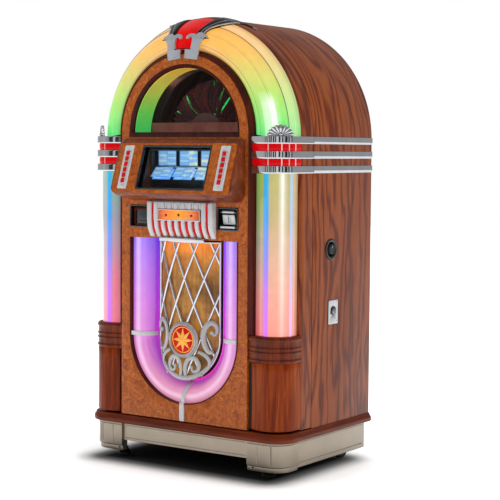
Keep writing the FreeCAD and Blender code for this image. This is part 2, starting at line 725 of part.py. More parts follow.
def lock_plug(lock):
    """Key plug with a cam behind it; the cam's pin rides in the bolt's slot."""
    plug = cylinder("plug_barrel", "x", "plug_radius", ("half_width - 27", "half_width + 7"), **lock)
    slot = box("key_slot", ("half_width + 2", "half_width + 9"), ("lock_y - 6", "lock_y + 6"),
               ("lock_z - 1", "lock_z + 1"))
    cam = box("lock_cam", ("half_width - 30", "half_width - 27"), ("lock_y - 7", "lock_y + 7"),
              ("lock_z - 10", "lock_z + 21"))
    finger = cylinder("cam_finger", "x", "knob_stem", ("half_width - 39", "half_width - 30"),
                      y="lock_y", z="lock_z + cam_reach")
    turning = fuse("lock_turning", cut("lock_barrel", plug, slot), cam, finger)
    keep(turned_x("lock_plug", turning, CAM_REST, "lock_y", "lock_z"))


def turned_x(name, part, angle, y, z):
    """A part turned about a line along X through (y, z)."""
    item = group(name, part)
    centre = Vector(0, number(y), number(z))
    item.Placement = FreeCAD.Placement(Vector(), FreeCAD.Rotation(Vector(1, 0, 0), angle), centre)
    return item


def latch_bolt():
    """Flat bolt that slides forward into the door when the lock is turned."""
    bar = box("bolt_bar", ("half_width - bolt_x - 3", "half_width - bolt_x + 3"),
              ("seam_y + 4", "lock_y + 30"),
              ("lock_z - 8", "lock_z + 8"))
    tab = box("bolt_tab", ("half_width - bolt_x - 3", "half_width - bolt_x + 3"),
              ("lock_y - 8", "lock_y + 30"),
              ("lock_z - 8", "lock_z + 24"))
    swing = number("cam_reach") * math.sin(math.radians(-CAM_REST))
    slot = box("bolt_slot", ("half_width - bolt_x - 10", "half_width - bolt_x + 10"),
               (f"lock_y + {swing - 4}",
                f"lock_y + {swing + 4}"),
               ("lock_z + 2", "lock_z + 21"))
    keep(cut("latch_bolt", fuse("bolt_blank", bar, tab), slot))


# ---------------------------------------------------------------- door structure

def door_structure():
    rim = arch("half_width", "door_bottom")
    hole = arch("half_width - board", "door_bottom + rim_sill")
    frame = padded("door_rim", "XZ_Plane", ("strip_front", "door_back"), rim, hole)
    reveal = [("reveal_out", "column_bottom"), ("reveal_out", "ring_z"),
              ("0 - reveal_out", "ring_z", "0", "ring_z", "left"),
              ("0 - reveal_out", "column_bottom"), ("0 - reveal_in", "column_bottom"),
              ("0 - reveal_in", "ring_z"), ("reveal_in", "ring_z", "0", "ring_z", "right"),
              ("reveal_in", "column_bottom")]
    inner = padded("inner_reveal", "XZ_Plane", ("reveal_front", "reflector_front"), reveal)
    board = padded("reflector_blank", "XZ_Plane", ("reflector_front", "door_back"),
                   arch("half_width - board", "door_bottom + rim_sill"),
                   arch("reveal_in", "column_bottom", "ring_z"))
    opening = box("reflector_opening", ("0 - reveal_in", "reveal_in"),
                  ("reflector_front - 5", "door_back + 5"), ("door_bottom + 70",
                  "column_bottom + 5"))
    strike = box("strike_hole", ("half_width - bolt_x - 5", "half_width - bolt_x + 5"),
                 ("reflector_front - 5", "door_back + 5"), ("lock_z - 10", "lock_z + 10"))
    reflector = cut("reflector_board", board, opening, strike)
    tray = box("strike_back", ("half_width - bolt_x - 25", "half_width - bolt_x + 15"),
               ("reflector_front - 2", "reflector_front"), ("lock_z - 24", "lock_z + 24"))
    tray_hole = box("strike_back_hole", ("half_width - bolt_x - 5", "half_width - bolt_x + 5"),
                    ("reflector_front - 9", "reflector_front + 9"),
                    ("lock_z - 10", "lock_z + 10"))
    plate = cut("strike_plate", tray, tray_hole)
    keep(group("door_frame", frame, inner, reflector, plate))


def front_panel():
    """Burl board with openings for the window, titles, selector, coins and light tube."""
    window = [("window_radius", "window_z"), ("0 - window_radius", "window_z", "0", "window_z",
              "left")]
    titles = rectangle(("0 - titles_half", "titles_half"), ("titles_low", "titles_high"))
    selector = rectangle(("0 - selector_half", "selector_half"),
                         ("selector_low", "selector_high"))
    coins = [rectangle(("cup_in", "cup_out"), ("cup_bottom", "cup_top")),
             rectangle(("0 - cup_out", "0 - cup_in"), ("cup_bottom", "cup_top"))]
    keep(padded("front_panel", "XZ_Plane", ("panel_front", "panel_back"),
                arch("reveal_in", "door_bottom", "ring_z"), window, titles, selector, *coins,
                trough("tube_outer", "tube_top")))


def light_columns():
    """Lit plastic columns, their wooden bases and collars, bands and red lenses."""
    inner, side_end = number("reveal_out"), number("strip_front")
    low, high = number("column_bottom"), number("column_top")
    wall = number("lens_wall")
    lens = feature("column_lens", column_wrap(0, wall, low, high, inner, side_end))
    keep(pair("column_lenses", lens))
    base_inner = number("reveal_in")
    base = column_wrap(number("base_proud"), 12, number("door_bottom") + 4,
                       number("collar_bottom"), base_inner, side_end)
    collar = column_wrap(number("collar_proud"), 15, number("collar_bottom"), low, base_inner,
                         side_end)
    keep(pair("column_bases", feature("column_base", Part.makeCompound([base, collar]))))
    band_end = number("door_back")
    proud, thick = number("band_proud"), number("band_wall")
    bands = [column_wrap(proud, thick, number(z), number(z) + number("band_height"),
                         inner, band_end) for z in ("band_one", "band_two", "band_three")]
    bands.append(shell_ornament())
    keep(pair("door_bands", feature("door_band_set", Part.makeCompound(bands))))
    lenses = []
    for lower, upper in (("band_one", "band_two"), ("band_two", "band_three")):
        lenses.append(column_wrap(-2, wall, number(lower) + number("band_height"),
                                  number(upper), inner, side_end))
    band_lenses = pair("red_band_lenses", feature("red_lens_set", Part.makeCompound(lenses)))
    crown = [(277, -233), (287, -232)] + lifted(ARCH_SECTION, 7)[2:-1]
    crown += [(405.5, -128), (408, -98), (408, -68)]
    crown_lens = feature("crown_lens", turned_about_arch(crown, 4, 81, 18))
    keep(group("red_lenses", band_lenses, crown_lens))


def shell_ornament():
    """A fluted half-round shell standing on the top band at the door's corner."""
    outer, height = 44, 37
    points = [Vector(-outer, 0, 0)]
    for step in range(1, 12):
        angle = math.radians(180 - 15 * step)
        points.append(Vector(outer * math.cos(angle), 0, height * math.sin(angle)))
    points.append(Vector(outer, 0, 0))
    curve = Part.BSplineCurve()
    curve.interpolate(points)
    wire = Part.Wire([curve.toShape(), Part.makeLine(points[-1], points[0])])
    shell = Part.Face(wire).extrude(Vector(0, 9, 0))
    shell.rotate(Vector(), Vector(0, 0, 1), 42)
    reach = number("column_round") - 2
    turn = math.radians(-48)
    shell.translate(Vector(number("column_x") + reach * math.cos(turn),
                           number("column_y") + reach * math.sin(turn),
                           number("band_three") + number("band_height")))
    return shell


def arch_lights():
    """The lit arch, and the two castings that hold the crown lens over its top."""
    wall = number("lens_wall")
    ring_z = number("ring_z")
    arch_lens = turned_about_arch(ARCH_SECTION, wall, 0, 180)
    reveal = Part.makeCylinder(number("reveal_out") + 0.5, 200, Vector(0, -250, ring_z),
                               Vector(0, 1, 0))
    keep(feature("arch_lens", arch_lens.cut(reveal)))
    rail = [(267, -234.5), (285, -236)] + lifted(ARCH_SECTION, 14)[2:]
    rail += [(409, -98), (408, -67)]
    sides = [turned_about_arch(rail, 4, start, 4.4) for start in (76.5, 99.1)]
    foot = Part.makeCylinder(9, 12, Vector(0, -241, 0), Vector(0, 1, 0))
    feet = []
    for angle in (72, 108):
        turn = math.radians(angle)
        toe = foot.copy()
        toe.translate(Vector(247 * math.cos(turn), 0, ring_z + 247 * math.sin(turn)))
        feet.append(toe)
    keep(feature("crown_castings", Part.makeCompound(sides + feet)))


# ---------------------------------------------------------------- window

def window():
    ring = [("window_radius", "window_z"), ("0 - window_radius", "window_z", "0", "window_z",
            "left"), ("0 - bezel_inner", "window_z"),
            ("bezel_inner", "window_z", "0", "window_z", "right")]
    bezel = padded("window_ring", "XZ_Plane", ("bezel_front", "panel_back"), ring)
    sill = box("window_sill", ("0 - window_radius", "window_radius"),
               ("panel_front - 3", "panel_front"), ("sill_z", "window_z"))
    keep(group("window_trim", bezel, sill))
    glass = [("window_radius + 8", "window_z - 6"), ("window_radius + 8", "window_z"),
             ("0 - window_radius - 8", "window_z", "0", "window_z", "left"),
             ("0 - window_radius - 8", "window_z - 6")]
    pane = padded("window_glass", "XZ_Plane", ("panel_back", "panel_back + 4"), glass)
    liner = [("liner_radius", "window_z"), ("0 - liner_radius", "window_z", "0", "window_z",
             "left"), ("4 - liner_radius", "window_z"),
             ("liner_radius - 4", "window_z", "0", "window_z", "right")]
    lining = padded("window_lining", "XZ_Plane", ("panel_back + 4", "liner_back"), liner)
    shelf = box("window_shelf", ("0 - liner_radius", "liner_radius"),
                ("panel_back + 4", "liner_back"), ("window_z - 8", "window_z"))
    keep(group("window_liner", lining, shelf))
    title_pane = tilted("console_glass", box("console_glass_flat", ("1 - screen_half",
                        "screen_half - 1"), ("11", "14"), ("1 - screen_high",
                        "screen_high - 1")))
    keep(group("glass_panes", pane, title_pane))


# ---------------------------------------------------------------- title console

def console_housing():
    outline = [("console_half", "console_top"), ("0 - console_half", "console_top"),
               ("0 - console_half", "console_heel + console_round"),
               ("console_round - console_half", "console_heel",
                "console_round - console_half", "console_heel + console_round", "left"),
               ("console_half - console_round", "console_heel"),
               ("console_half", "console_heel + console_round",
                "console_half - console_round", "console_heel + console_round", "left")]
    wedge = padded("console_wedge", "YZ_Plane", ("0 - console_half", "console_half"),
                   [("panel_front", "console_top"), ("face_high_y + 12", "console_top"),
                    ("face_high_y", "face_high_z"), ("face_low_y", "face_low_z"),
                    ("face_low_y + 4", "console_bottom"), ("panel_front", "console_heel")])
    front = padded("console_front_view", "XZ_Plane", ("0 - 320", "panel_front"), outline)
    body = common("console_body", wedge, front)
    hollow = box("console_hollow", ("console_skin - console_half", "console_half - console_skin"),
                 ("0 - 245", "panel_front + 5"), ("titles_low", "titles_high"))
    screen = tilted("screen_hole", box("screen_hole_block", ("0 - screen_half", "screen_half"),
                    ("0 - 20", "48"), ("0 - screen_high", "screen_high")))
    side_holes = []
    for side in (1, -1):
        edges = ("key_x - key_half - key_gap", "key_x + key_half + key_gap")
        if side < 0:
            edges = ("0 - key_x - key_half - key_gap", "key_half + key_gap - key_x")
        high = "2.5 * key_pitch + key_high + key_gap"
        side_holes.append(box(f"key_well_{side + 1}", edges, ("0 - 20", "60"),
                              (f"0 - {high}".replace("+", "-"), high)))
    wells = tilted("key_wells", group("key_wells_flat", *side_holes))
    keep(cut("console_housing", body, hollow, screen, wells))


def console_face():
    """Glass, dark frame, button plates and buttons on the sloping face."""
    outer = box("screen_frame_blank", ("1 - screen_half", "screen_half - 1"), ("6", "11"),
                ("1 - screen_high", "screen_high - 1"))
    inner = box("screen_frame_hole", ("7 - screen_half", "screen_half - 7"), ("0", "20"),
                ("7 - screen_high", "screen_high - 7"))
    frame = tilted("screen_frame", cut("screen_frame_flat", outer, inner))
    plate = box("key_plate_blank", ("strip_in", "strip_out"), ("0 - 3", "0"),
                ("0 - strip_high", "strip_high"))
    holes = []
    for count in range(KEYS_PER_COLUMN):
        middle = f"{count - (KEYS_PER_COLUMN - 1) / 2} * key_pitch"
        low, high = spread(middle, "key_high + key_gap")
        holes.append(box(f"key_plate_hole_{count}",
                         ("key_x - key_half - key_gap", "key_x + key_half + key_gap"),
                         ("0 - 9", "9"), (low, high)))
    right = cut("key_plate", plate, *holes)
    plates = tilted("key_plate_pair", pair("key_plates_flat", right))
    screw = [cylinder(f"key_screw_{end}", "y", "4", ("0 - 5", "0 - 3"), x="key_x", z=height)
             for end, height in enumerate(("strip_high - 10", "10 - strip_high"))]
    screws = tilted("key_screws", pair("key_screws_flat", group("key_screw_pair", *screw)))
    keep(group("key_plates", plates, screws))
    for side in ("left", "right"):
        for count in range(KEYS_PER_COLUMN):
            key(side, count)
    return frame


def spread(middle, half):
    """The two ends of a span about middle, written out as plain sums."""
    return f"{middle} - {half}".replace("+", "-"), f"{middle} + {half}"


def key(side, count):
    """One red push button with a flanged back that keeps it in its plate."""
    middle = f"{count - (KEYS_PER_COLUMN - 1) / 2} * key_pitch"
    centre = "key_x" if side == "right" else "0 - key_x"
    name = f"select_button_{side}_{KEYS_PER_COLUMN - count}"
    stem = box(name + "_cap", (f"{centre} - key_half", f"{centre} + key_half"),
               ("0 - 3 - key_proud", "8"), (f"{middle} - key_high", f"{middle} + key_high"))
    keep(tilted(name, stem))


def title_rack(frame):
    """Lit title pages: an upright row, a leaning row, and one row of leaves that flips."""
    columns = ("0 - page_pitch", "0", "page_pitch")
    uppers = []
    lean = -(180 - number("page_lean"))
    for count, middle in enumerate(columns):
        x = (f"{middle} - page_half", f"{middle} + page_half")
        page = box(f"page_{count}", x, ("0 - 1", "1"), ("3", "page_high"))
        uppers.append(page)
    upright = group("pages_upright", *uppers)
    top = group("title_pages_upper", upright)
    place(top, "0", "page_y + 3", "page_hinge_z")
    lower = group("title_pages_lower", group("pages_lower_links", *uppers))
    lower.Placement = FreeCAD.Placement(
        Vector(0, number("page_y") + 2, number("page_hinge_z") - 4),
        FreeCAD.Rotation(Vector(1, 0, 0), -lean))
    leaf = group("title_leaf_pages", *uppers)
    leaf.Placement = FreeCAD.Placement(Vector(0, 0, 0), FreeCAD.Rotation(Vector(1, 0, 0), -lean))
    rod = cylinder("leaf_rod", "x", "2", ("0 - 130", "130"))
    arms = []
    for count, middle in enumerate(columns):
        arm = box(f"leaf_arm_{count}", (f"{middle} - 4", f"{middle} + 4"), ("0 - 1", "1"),
                  ("0", "4"))
        arms.append(arm)
    arm_set = group("leaf_arms", *arms)
    arm_set.Placement = FreeCAD.Placement(Vector(), FreeCAD.Rotation(Vector(1, 0, 0), -lean))
    moving = fuse("title_leaf", rod, arm_set, leaf)
    place(moving, "0", "page_y - 4", "page_hinge_z")
    keep(moving)
    back = box("rack_back", ("0 - 138", "138"), ("page_y + 8", "page_y + 11"),
               ("titles_low", "titles_high"))
    sides = [box(f"rack_side_{count}", x, ("panel_back + 2", "page_y + 8"), ("titles_low", "titles_high"))
             for count, x in enumerate((("0 - 138", "0 - 135"), ("135", "138")))]
    eyes = cylinder("rack_eyes", "x", "2 + running", ("0 - 150", "150"), y="page_y - 4",
                    z="page_hinge_z")
    ears = [box(f"rack_ear_{count}", x, ("page_y - 10", "page_y + 8"),
                ("page_hinge_z - 8", "page_hinge_z + 8"))
            for count, x in enumerate((("0 - 135", "0 - 127"), ("127", "135")))]
    rack = cut("title_rack_case", fuse("title_rack_blank", back, *sides, *ears), eyes)
    keep(group("title_rack", rack, frame, top, lower))


# ---------------------------------------------------------------- selector and coins

def selector():
    """Ten chrome ribs that fall straight and curve back, red inserts and a label plate."""
    ribs, inserts, blocks = [], [], []
    for count in range(RIBS):
        middle = count - (RIBS - 1) / 2
        ribs.append(rib(f"rib_{count}", f"{middle} * rib_pitch", "rib_width / 2", "0"))
    for count in range(RIBS - 1):
        middle = count - (RIBS - 2) / 2
        inserts.append(rib(f"insert_{count}", f"{middle} * rib_pitch",
                           "rib_pitch / 2 - rib_width / 2", "7"))
        if 0 < count < RIBS - 2:
            blocks.append(box(f"block_{count}",
                              (f"{middle} * rib_pitch - rib_pitch / 2 + rib_width / 2",
                               f"{middle} * rib_pitch + rib_pitch / 2 - rib_width / 2"),
                              ("rib_front + 2", "rib_front + 6.9"), ("label_top", "rib_top")))
    label = box("label_plate", ("0 - label_half", "label_half"),
                ("rib_front - 2", "rib_front"), ("label_bottom", "label_top"))
    bar = box("grille_top_bar", ("0 - 91.5", "91.5"), ("panel_front - 10", "panel_front"),
              ("tube_top - 8", "rib_bottom"))
    keep(group("selector_grille", *ribs, *blocks, bar))
    keep(group("selector_inserts", *inserts, label))


def rib(name, middle, half, inset):
    """One fall of the selector grille, drawn from the side."""
    body = doc.addObject("PartDesign::Body", name)
    face = f"rib_front + {inset}"
    loop = [("panel_front", "console_heel"), (face, "rib_top"), (face, "rib_bend"),
            (f"{face} + 4", "rib_bend - 20"),
            (f"panel_front - 6 + {inset} / 2", "rib_bottom + 6"),
            ("panel_front", "rib_bottom")]
    sketch = new_sketch(body, "YZ_Plane", bound(f"{middle} - ({half})"), [loop])
    pad = body.newObject("PartDesign::Pad", "pad")
    pad.Profile = sketch
    bind(pad, "Length", f"2 * ({half})")
    body.Tip = pad
    return body


def coin_parts():
    """Open-fronted coin recesses, a slotted coin plate with its reject bar, and a flap."""
    y = ("panel_front + 1", "panel_front + cup_depth")
    shell = box("cup_shell", ("cup_in", "cup_out"), y, ("cup_bottom", "cup_top"))
    space = box("cup_space", ("cup_in + cup_wall", "cup_out - cup_wall"),
                ("panel_front - 5", "panel_front + cup_depth - cup_wall"),
                ("cup_bottom + cup_wall", "cup_top - cup_wall"))
    cups = pair("coin_cups", cut("coin_cup", shell, space))
    plate = box("coin_plate", ("cup_in + coin_inset", "cup_out - coin_inset"),
                ("panel_front + 8", "panel_front + cup_depth - cup_wall"),
                ("cup_bottom + 18", "cup_top - 22"))
    slit = box("coin_slit", ("cup_in + 38", "cup_in + 42"),
               ("panel_front - 5", "panel_front + cup_depth - 8"),
               ("cup_bottom + 23", "cup_top - 27"))
    entry = cut("coin_entry", plate, slit)
    lower = box("coin_trim_bar", ("cup_in + coin_inset", "cup_out - coin_inset"),
                ("panel_front + 4", "panel_front + cup_depth - cup_wall"),
                ("cup_bottom + 6", "cup_bottom + 14"))
    keep(box("coin_reject_button", ("cup_in + coin_inset", "cup_out - coin_inset"),
             ("panel_front + 1", "panel_front + cup_depth - 13"), ("cup_top - 17", "cup_top - 8")))
    flap = box("return_flap", ("7 - cup_out", "0 - cup_in - 7"),
               ("panel_front + 12", "panel_front + 14"), ("cup_bottom + 5", "cup_top - 9"))
    rod = cylinder("flap_rod", "x", "2", ("cup_wall - cup_out", "0 - cup_in - cup_wall"),
                   y="panel_front + 13", z="cup_top - 9")
    keep(fuse("coin_return_flap", flap, rod))
    chute = box("coin_chute", ("cup_in + 25", "cup_in + 55"),
                ("panel_front + cup_depth", "panel_front + cup_depth + 60"), ("chute_low", "cup_top - 10"))
    till = box("coin_till", ("cup_in + 5", "cup_in + 95"),
               ("panel_front + 66", "panel_front + 140"), ("till_low", "chute_low"))
    keep(group("coin_unit", cups, entry, lower, chute, till))


# ---------------------------------------------------------------- light tube and grille

def light_tube():
    """A U-shaped lit tube of domed section round the grille."""
    inner, outer, centre_z = number("tube_inner"), number("tube_outer"), number("tube_z")
    span = outer - inner
    section = [Vector(outer - 0.5, -206, 0), Vector(outer - 8, -214, 0),
               Vector(outer - 0.3 * span, -220, 0), Vector(outer - 0.55 * span, -217, 0),
               Vector(outer - 0.8 * span, -203, 0), Vector(inner + 4, -188, 0),
               Vector(inner, -176, 0)]
    face = ribbon(section, number("lens_wall"))
    face.translate(Vector(0, 0, centre_z))
    leg = face.extrude(Vector(0, 0, number("tube_top") - centre_z))
    other = leg.mirror(Vector(), Vector(1, 0, 0))
    bend = face.revolve(Vector(0, 0, centre_z), Vector(0, 1, 0), 180)
    keep(feature("light_tube", leg.fuse([other, bend]).removeSplitter()))
    clip = box("tube_clip", ("tube_inner - 4", "tube_outer + 6"),
               ("panel_front - 2", "panel_front"), ("tube_z - 9", "tube_z + 9"))
    strip = box("centre_strip", ("0 - 9", "9"), ("panel_front - 14", "panel_front"),
                ("door_bottom + 1", "tube_z - tube_inner - 40"))
    return pair("tube_clips", clip), strip


def grille(tube_trim):
    """Bowed metal lattice over a gold cloth, with a medallion and scrolls."""
    bow = number("bow_radius")
    centre_y = number("bow_front") + bow
    top, low = number("tube_top") - 9, number("tube_z") - number("tube_inner")
    outline = padded("grille_outline", "XZ_Plane", ("0 - 240", "0 - 150"),
                     trough("tube_inner - 5", "tube_top - 9"))
    lattice = common("lattice", feature("lattice_net", lattice_net(bow, centre_y, low,
                     top)), outline)
    cloth_ring = bow_sheet(bow - 8, 2, centre_y, low, top)
    keep(common("grille_cloth", feature("cloth_sheet", cloth_ring), outline))
    keep(group("grille_metalwork", lattice, scrolls(), *tube_trim))
    medallion()


def bow_sheet(radius, wall, centre_y, low, top):
    """A sheet bent about an upright axis, bulging to the front."""
    at = Vector(0, centre_y, low - 5)
    outer = Part.makeCylinder(radius, top - low + 10, at)
    inner = Part.makeCylinder(radius - wall, top - low + 10, at)
    return outer.cut(inner)


def lattice_net(bow, centre_y, low, top):
    """Crossing diagonal bars cut out of a bent sheet."""
    sheet = bow_sheet(bow, 5, centre_y, low, top)
    pitch, width = number("lattice_pitch"), number("lattice_bar")
    height = top - low
    bars = []
    for slope in (1, -1):
        for count in range(-6, 7):
            bar = Part.makeBox(width, 90, 2 * height, Vector(-width / 2, -245, -height))
            bar.rotate(Vector(), Vector(0, 1, 0), slope * math.degrees(math.atan(0.5)))
            bar.translate(Vector(count * pitch, 0, number("tube_z") + pitch))
            bars.append(bar)
    net = bars[0].multiFuse(bars[1:])
    return sheet.common(net)


def medallion():
    front = number("bow_front") - 12
    centre = Vector(0, front, number("tube_z"))
    along = Vector(0, 1, 0)
    radius = number("medallion_radius")
    ring = Part.makeCylinder(radius, 12, centre, along)
    ring = ring.cut(Part.makeCylinder(radius - 12, 12, centre, along))
    disc = Part.makeCylinder(radius - 12, 6, centre + along * 6, along)
    tips = []
    for step in range(16):
        reach = 37 if step % 2 == 0 else 15
        turn = math.radians(22.5 * step)
        tips.append(centre + Vector(reach * math.sin(turn), 0, reach * math.cos(turn)))
    star = Part.Face(Part.makePolygon(tips + tips[:1])).extrude(along * 6)
    keep(feature("medallion", Part.makeCompound([ring, disc, star])))


def spiral(centre_x, centre_z, start, turns, inner, outer):
    """Points of a scroll that winds out from inner to outer radius."""
    points = []
    steps = int(turns * 12)
    for step in range(steps + 1):
        share = step / steps
        turn = math.radians(start + 360 * turns * share)
        radius = inner + (outer - inner) * share
        points.append(Vector(centre_x + radius * math.cos(turn),
                             centre_z + radius * math.sin(turn), 0))
    return points


def scrolls():
    """Two scrolls beside the medallion and two below it, in flat bar."""
    depth, front = 6, number("bow_front") - 6.5
    shapes = []
    middle = number("tube_z")
    for x, z, start, turns, outer in ((98, middle + 4, 200, 1.4, 27),
                                      (36, middle - 90, 150, 1.4, 24)):
        face = ribbon(spiral(x, z, start, turns, 8, outer), 7)
        face.rotate(Vector(), Vector(1, 0, 0), 90)
        bar = face.extrude(Vector(0, depth, 0))
        bar.translate(Vector(0, front, 0))
        shapes.append(bar)
        shapes.append(bar.mirror(Vector(), Vector(1, 0, 0)))
    return feature("grille_scrolls", Part.makeCompound(shapes))


# ---------------------------------------------------------------- mechanism

def mechanism():
    """Steel frame on the shelf that carries the carousel shaft, motor, player and rail."""
    plate = box("chassis_base", ("0 - chassis_half", "chassis_half"), ("0 - 56", "200"),
                ("deck_z", "deck_z + 4"))
    upright = box("chassis_upright", ("0 - upright_half", "upright_half"),
                  ("upright_front", "upright_back"), ("deck_z + 4", "upright_top"))
    gussets = [box(f"chassis_gusset_{count}", x, ("upright_back", "gusset_rear"),
                   ("deck_z + 4", "gusset_top"))
               for count, x in enumerate((("0 - upright_half", "4 - upright_half"),
                                       ("upright_half - 4", "upright_half")))]
    bore = cylinder("chassis_bore", "y", "shaft_radius", ("30", "50"), z="window_z")
    chassis = cut("mechanism_chassis", fuse("chassis_blank", plate, upright, *gussets), bore)
    shaft = cylinder("carousel_shaft", "y", "shaft_radius", ("carousel_front - 6", "motor_front"),
                     z="window_z")
    motor = cylinder("carousel_motor", "y", "motor_radius", ("motor_front", "motor_rear"), z="window_z")
    keep(group("mechanism_frame", chassis, shaft, motor, *player()))
    carousel()


def carousel():
    """Hub and rear plate that turn on the shaft, with discs stored radially."""
    hub = cylinder("hub_drum", "y", "hub_radius", ("carousel_front", "carousel_back"), z="window_z")
    plate = cylinder("hub_plate", "y", "carousel_radius", ("carousel_back", "carousel_back + 3"),
                     z="window_z")
    cap = cylinder("hub_cap", "y", "cap_radius", ("carousel_front - 3", "carousel_front"), z="window_z")
    bore = cylinder("hub_bore", "y", "shaft_radius + running",
                    ("carousel_front - 9", "carousel_back + 9"), z="window_z")
    keep(cut("carousel_hub", fuse("hub_blank", hub, plate, cap), bore))
    thick, radius = number("disc_thick"), number("disc_radius")
    middle = Vector(0, number("disc_y"), number("window_z"))
    discs = []
    for slot in range(1, SLOTS):
        disc = Part.makeCylinder(radius, thick, Vector(0, 0, -thick / 2))
        disc.translate(Vector(number("carousel_radius") - radius - 2, 0, 0))
        disc.rotate(Vector(), Vector(0, 1, 0), 90 + 360 * slot / SLOTS)
        disc.translate(middle)
        discs.append(disc)
    keep(feature("stored_discs", Part.makeCompound(discs)))


def player():
    """Disc player under the carousel, and the carriage that lowers a disc into it."""
    deck = box("player_block", ("player_in", "player_out"), ("player_front", "player_rear"),
               ("player_low", "player_high"))
    leg = box("player_leg", ("player_in + 14", "player_out - 10"), ("player_front + 40", "player_rear"),
              ("deck_z + 4", "player_low"))
    bore = cylinder("player_bore", "x", "spindle_radius + running", ("10", "40"), y="disc_y",
                    z="spindle_z")
    player_deck = cut("player_deck", fuse("player_blank", deck, leg), bore)
    disc = cylinder("disc_blank", "x", "disc_radius", ("0 - disc_thick / 2", "disc_thick / 2"),
                    y="disc_y", z="spindle_z")
    clamp = cylinder("disc_clamp", "x", "12", ("disc_thick / 2", "14"), y="disc_y",
                     z="spindle_z")
    stem = cylinder("disc_spindle", "x", "spindle_radius", ("14", "38"), y="disc_y", z="spindle_z")
    keep(fuse("playing_disc", disc, clamp, stem))
    rail = cylinder("rail_bar", "z", "rail_radius", ("deck_z + 4", "rail_top"), x="rail_x", y="rail_y")
    block = box("carriage_block", ("rail_x - 15", "rail_x + 15"), ("rail_y - 14", "rail_y + 14"),
                ("carriage_low", "carriage_high"))
    bore = cylinder("carriage_bore", "z", "rail_radius + running",
                    ("carriage_low - 8", "carriage_high + 8"),
                    x="rail_x", y="rail_y")
    arm = box("carriage_arm", ("rail_x + 15", "0 - 2"), ("8", "16"),
              ("carriage_low + 4", "carriage_high - 4"))
    fork = box("carriage_fork", ("0 - 6", "0 - 2"), ("0 - 58", "8"),
               ("carriage_low + 4", "carriage_high - 4"))
    keep(cut("disc_carriage", fuse("carriage_blank", block, arm, fork), bore))
    return player_deck, rail


def speaker_baffle():
    """Board across the lower cabinet with holes for the speakers."""
    board = padded("baffle_blank", "XZ_Plane", ("baffle_front", "baffle_front + 18"),
                   rectangle(("board - half_width", "half_width - board"),
                             ("moulding_top", "shelf_z")))
    hole = cylinder("woofer_hole", "y", "woofer_radius - 15", ("baffle_front - 5", "0"),
                    z="tube_z")
    small = [cylinder(f"tweeter_hole_{count}", "y", "tweeter_hole", ("baffle_front - 5", "0"),
                      x=x, z="tweeter_z") for count, x in enumerate(("0 - tweeter_x", "tweeter_x"))]
    gate = box("bolt_gate", ("half_width - bolt_x - 7", "half_width - bolt_x + 7"),
               ("baffle_front - 5", "0"),
               ("lock_z - 12", "lock_z + 12"))
    return cut("speaker_baffle", board, hole, gate, *small)


def sound():
    """A woofer and two tweeters on the baffle, and the amplifier behind it."""
    ring = Part.makeCylinder(number("woofer_radius"), 8, Vector(0, -68, number("tube_z")),
                             Vector(0, 1, 0))
    cone = Part.makeCone(30, number("cone_radius"), 52, Vector(0, -8, number("tube_z")), Vector(0, -1, 0))
    ring = ring.cut(Part.makeCylinder(number("cone_radius"), 30, Vector(0, -80, number("tube_z")),
                                      Vector(0, 1, 0)))
    inner = Part.makeCone(26, number("cone_radius") - 4, 50, Vector(0, -10, number("tube_z")),
                          Vector(0, -1, 0))
    magnet = Part.makeCylinder(60, 40, Vector(0, -8, number("tube_z")), Vector(0, 1, 0))
    woofer = feature("woofer", ring.fuse([cone.cut(inner), magnet]))
    tweeters = []
    for x in (-number("tweeter_x"), number("tweeter_x")):
        flange = Part.makeCylinder(46, 5, Vector(x, -65, number("tweeter_z")), Vector(0, 1, 0))
        barrel = Part.makeCylinder(37.9, 45, Vector(x, -60, number("tweeter_z")), Vector(0, 1, 0))
        throat = Part.makeCone(34, 10, 20, Vector(x, -65, number("tweeter_z")), Vector(0, 1, 0))
        tweeters.append(flange.fuse(barrel).cut(throat))
    case = box("amplifier_case", ("0 - 330", "0 - 90"), ("40", "240"), ("moulding_top", "250"))
    fins = [box(f"amplifier_fin_{count}", (f"{count * 16} - 326", f"{count * 16} - 322"),
                ("50", "230"), ("250", "274")) for count in range(FINS)]
    keep(group("sound_system", woofer, feature("tweeters", Part.makeCompound(tweeters)),
               fuse("amplifier", case, *fins)))


def hinge():
    """Three butt hinges down the left edge; the door leaf's knuckle is the middle one."""
    door_parts, cabinet_parts, pins = [], [], []
    for count, low in enumerate(HINGES):
        base = f"{low}"
        leaf_y = ("seam_y - half_seam", "seam_y - knuckle_gap")
        door_leaf = box(f"hinge_door_leaf_{count}", ("hinge_x", "hinge_x + hinge_leaf"), leaf_y,
                        (f"{base} + hinge_leaf + knuckle_gap", f"{base} + 2 * hinge_leaf - knuckle_gap"))
        door_parts.append(knuckle(f"door_knuckle_{count}", f"{base} + hinge_leaf + knuckle_gap",
                                  f"{base} + 2 * hinge_leaf - knuckle_gap",
                                  door_leaf, "pin_radius + running"))
        leaf_y = ("seam_y + knuckle_gap", "seam_y + half_seam")
        for part, low_z, high_z in (("low", f"{base}", f"{base} + hinge_leaf"),
                                    ("high", f"{base} + 2 * hinge_leaf", f"{base} + 3 * hinge_leaf")):
            leaf = box(f"hinge_leaf_{part}_{count}", ("hinge_x", "hinge_x + hinge_leaf"), leaf_y,
                       (low_z, high_z))
            cabinet_parts.append(knuckle(f"cabinet_knuckle_{part}_{count}", low_z, high_z, leaf,
                                         "pin_radius"))
        pins.append(cylinder(f"hinge_pin_{count}", "z", "pin_radius",
                             (f"{base} - 2", f"{base} + 92"), x="hinge_x", y="seam_y"))
    keep(group("hinge_door_leaves", *door_parts))
    keep(group("hinge_cabinet_leaves", *cabinet_parts, *pins))


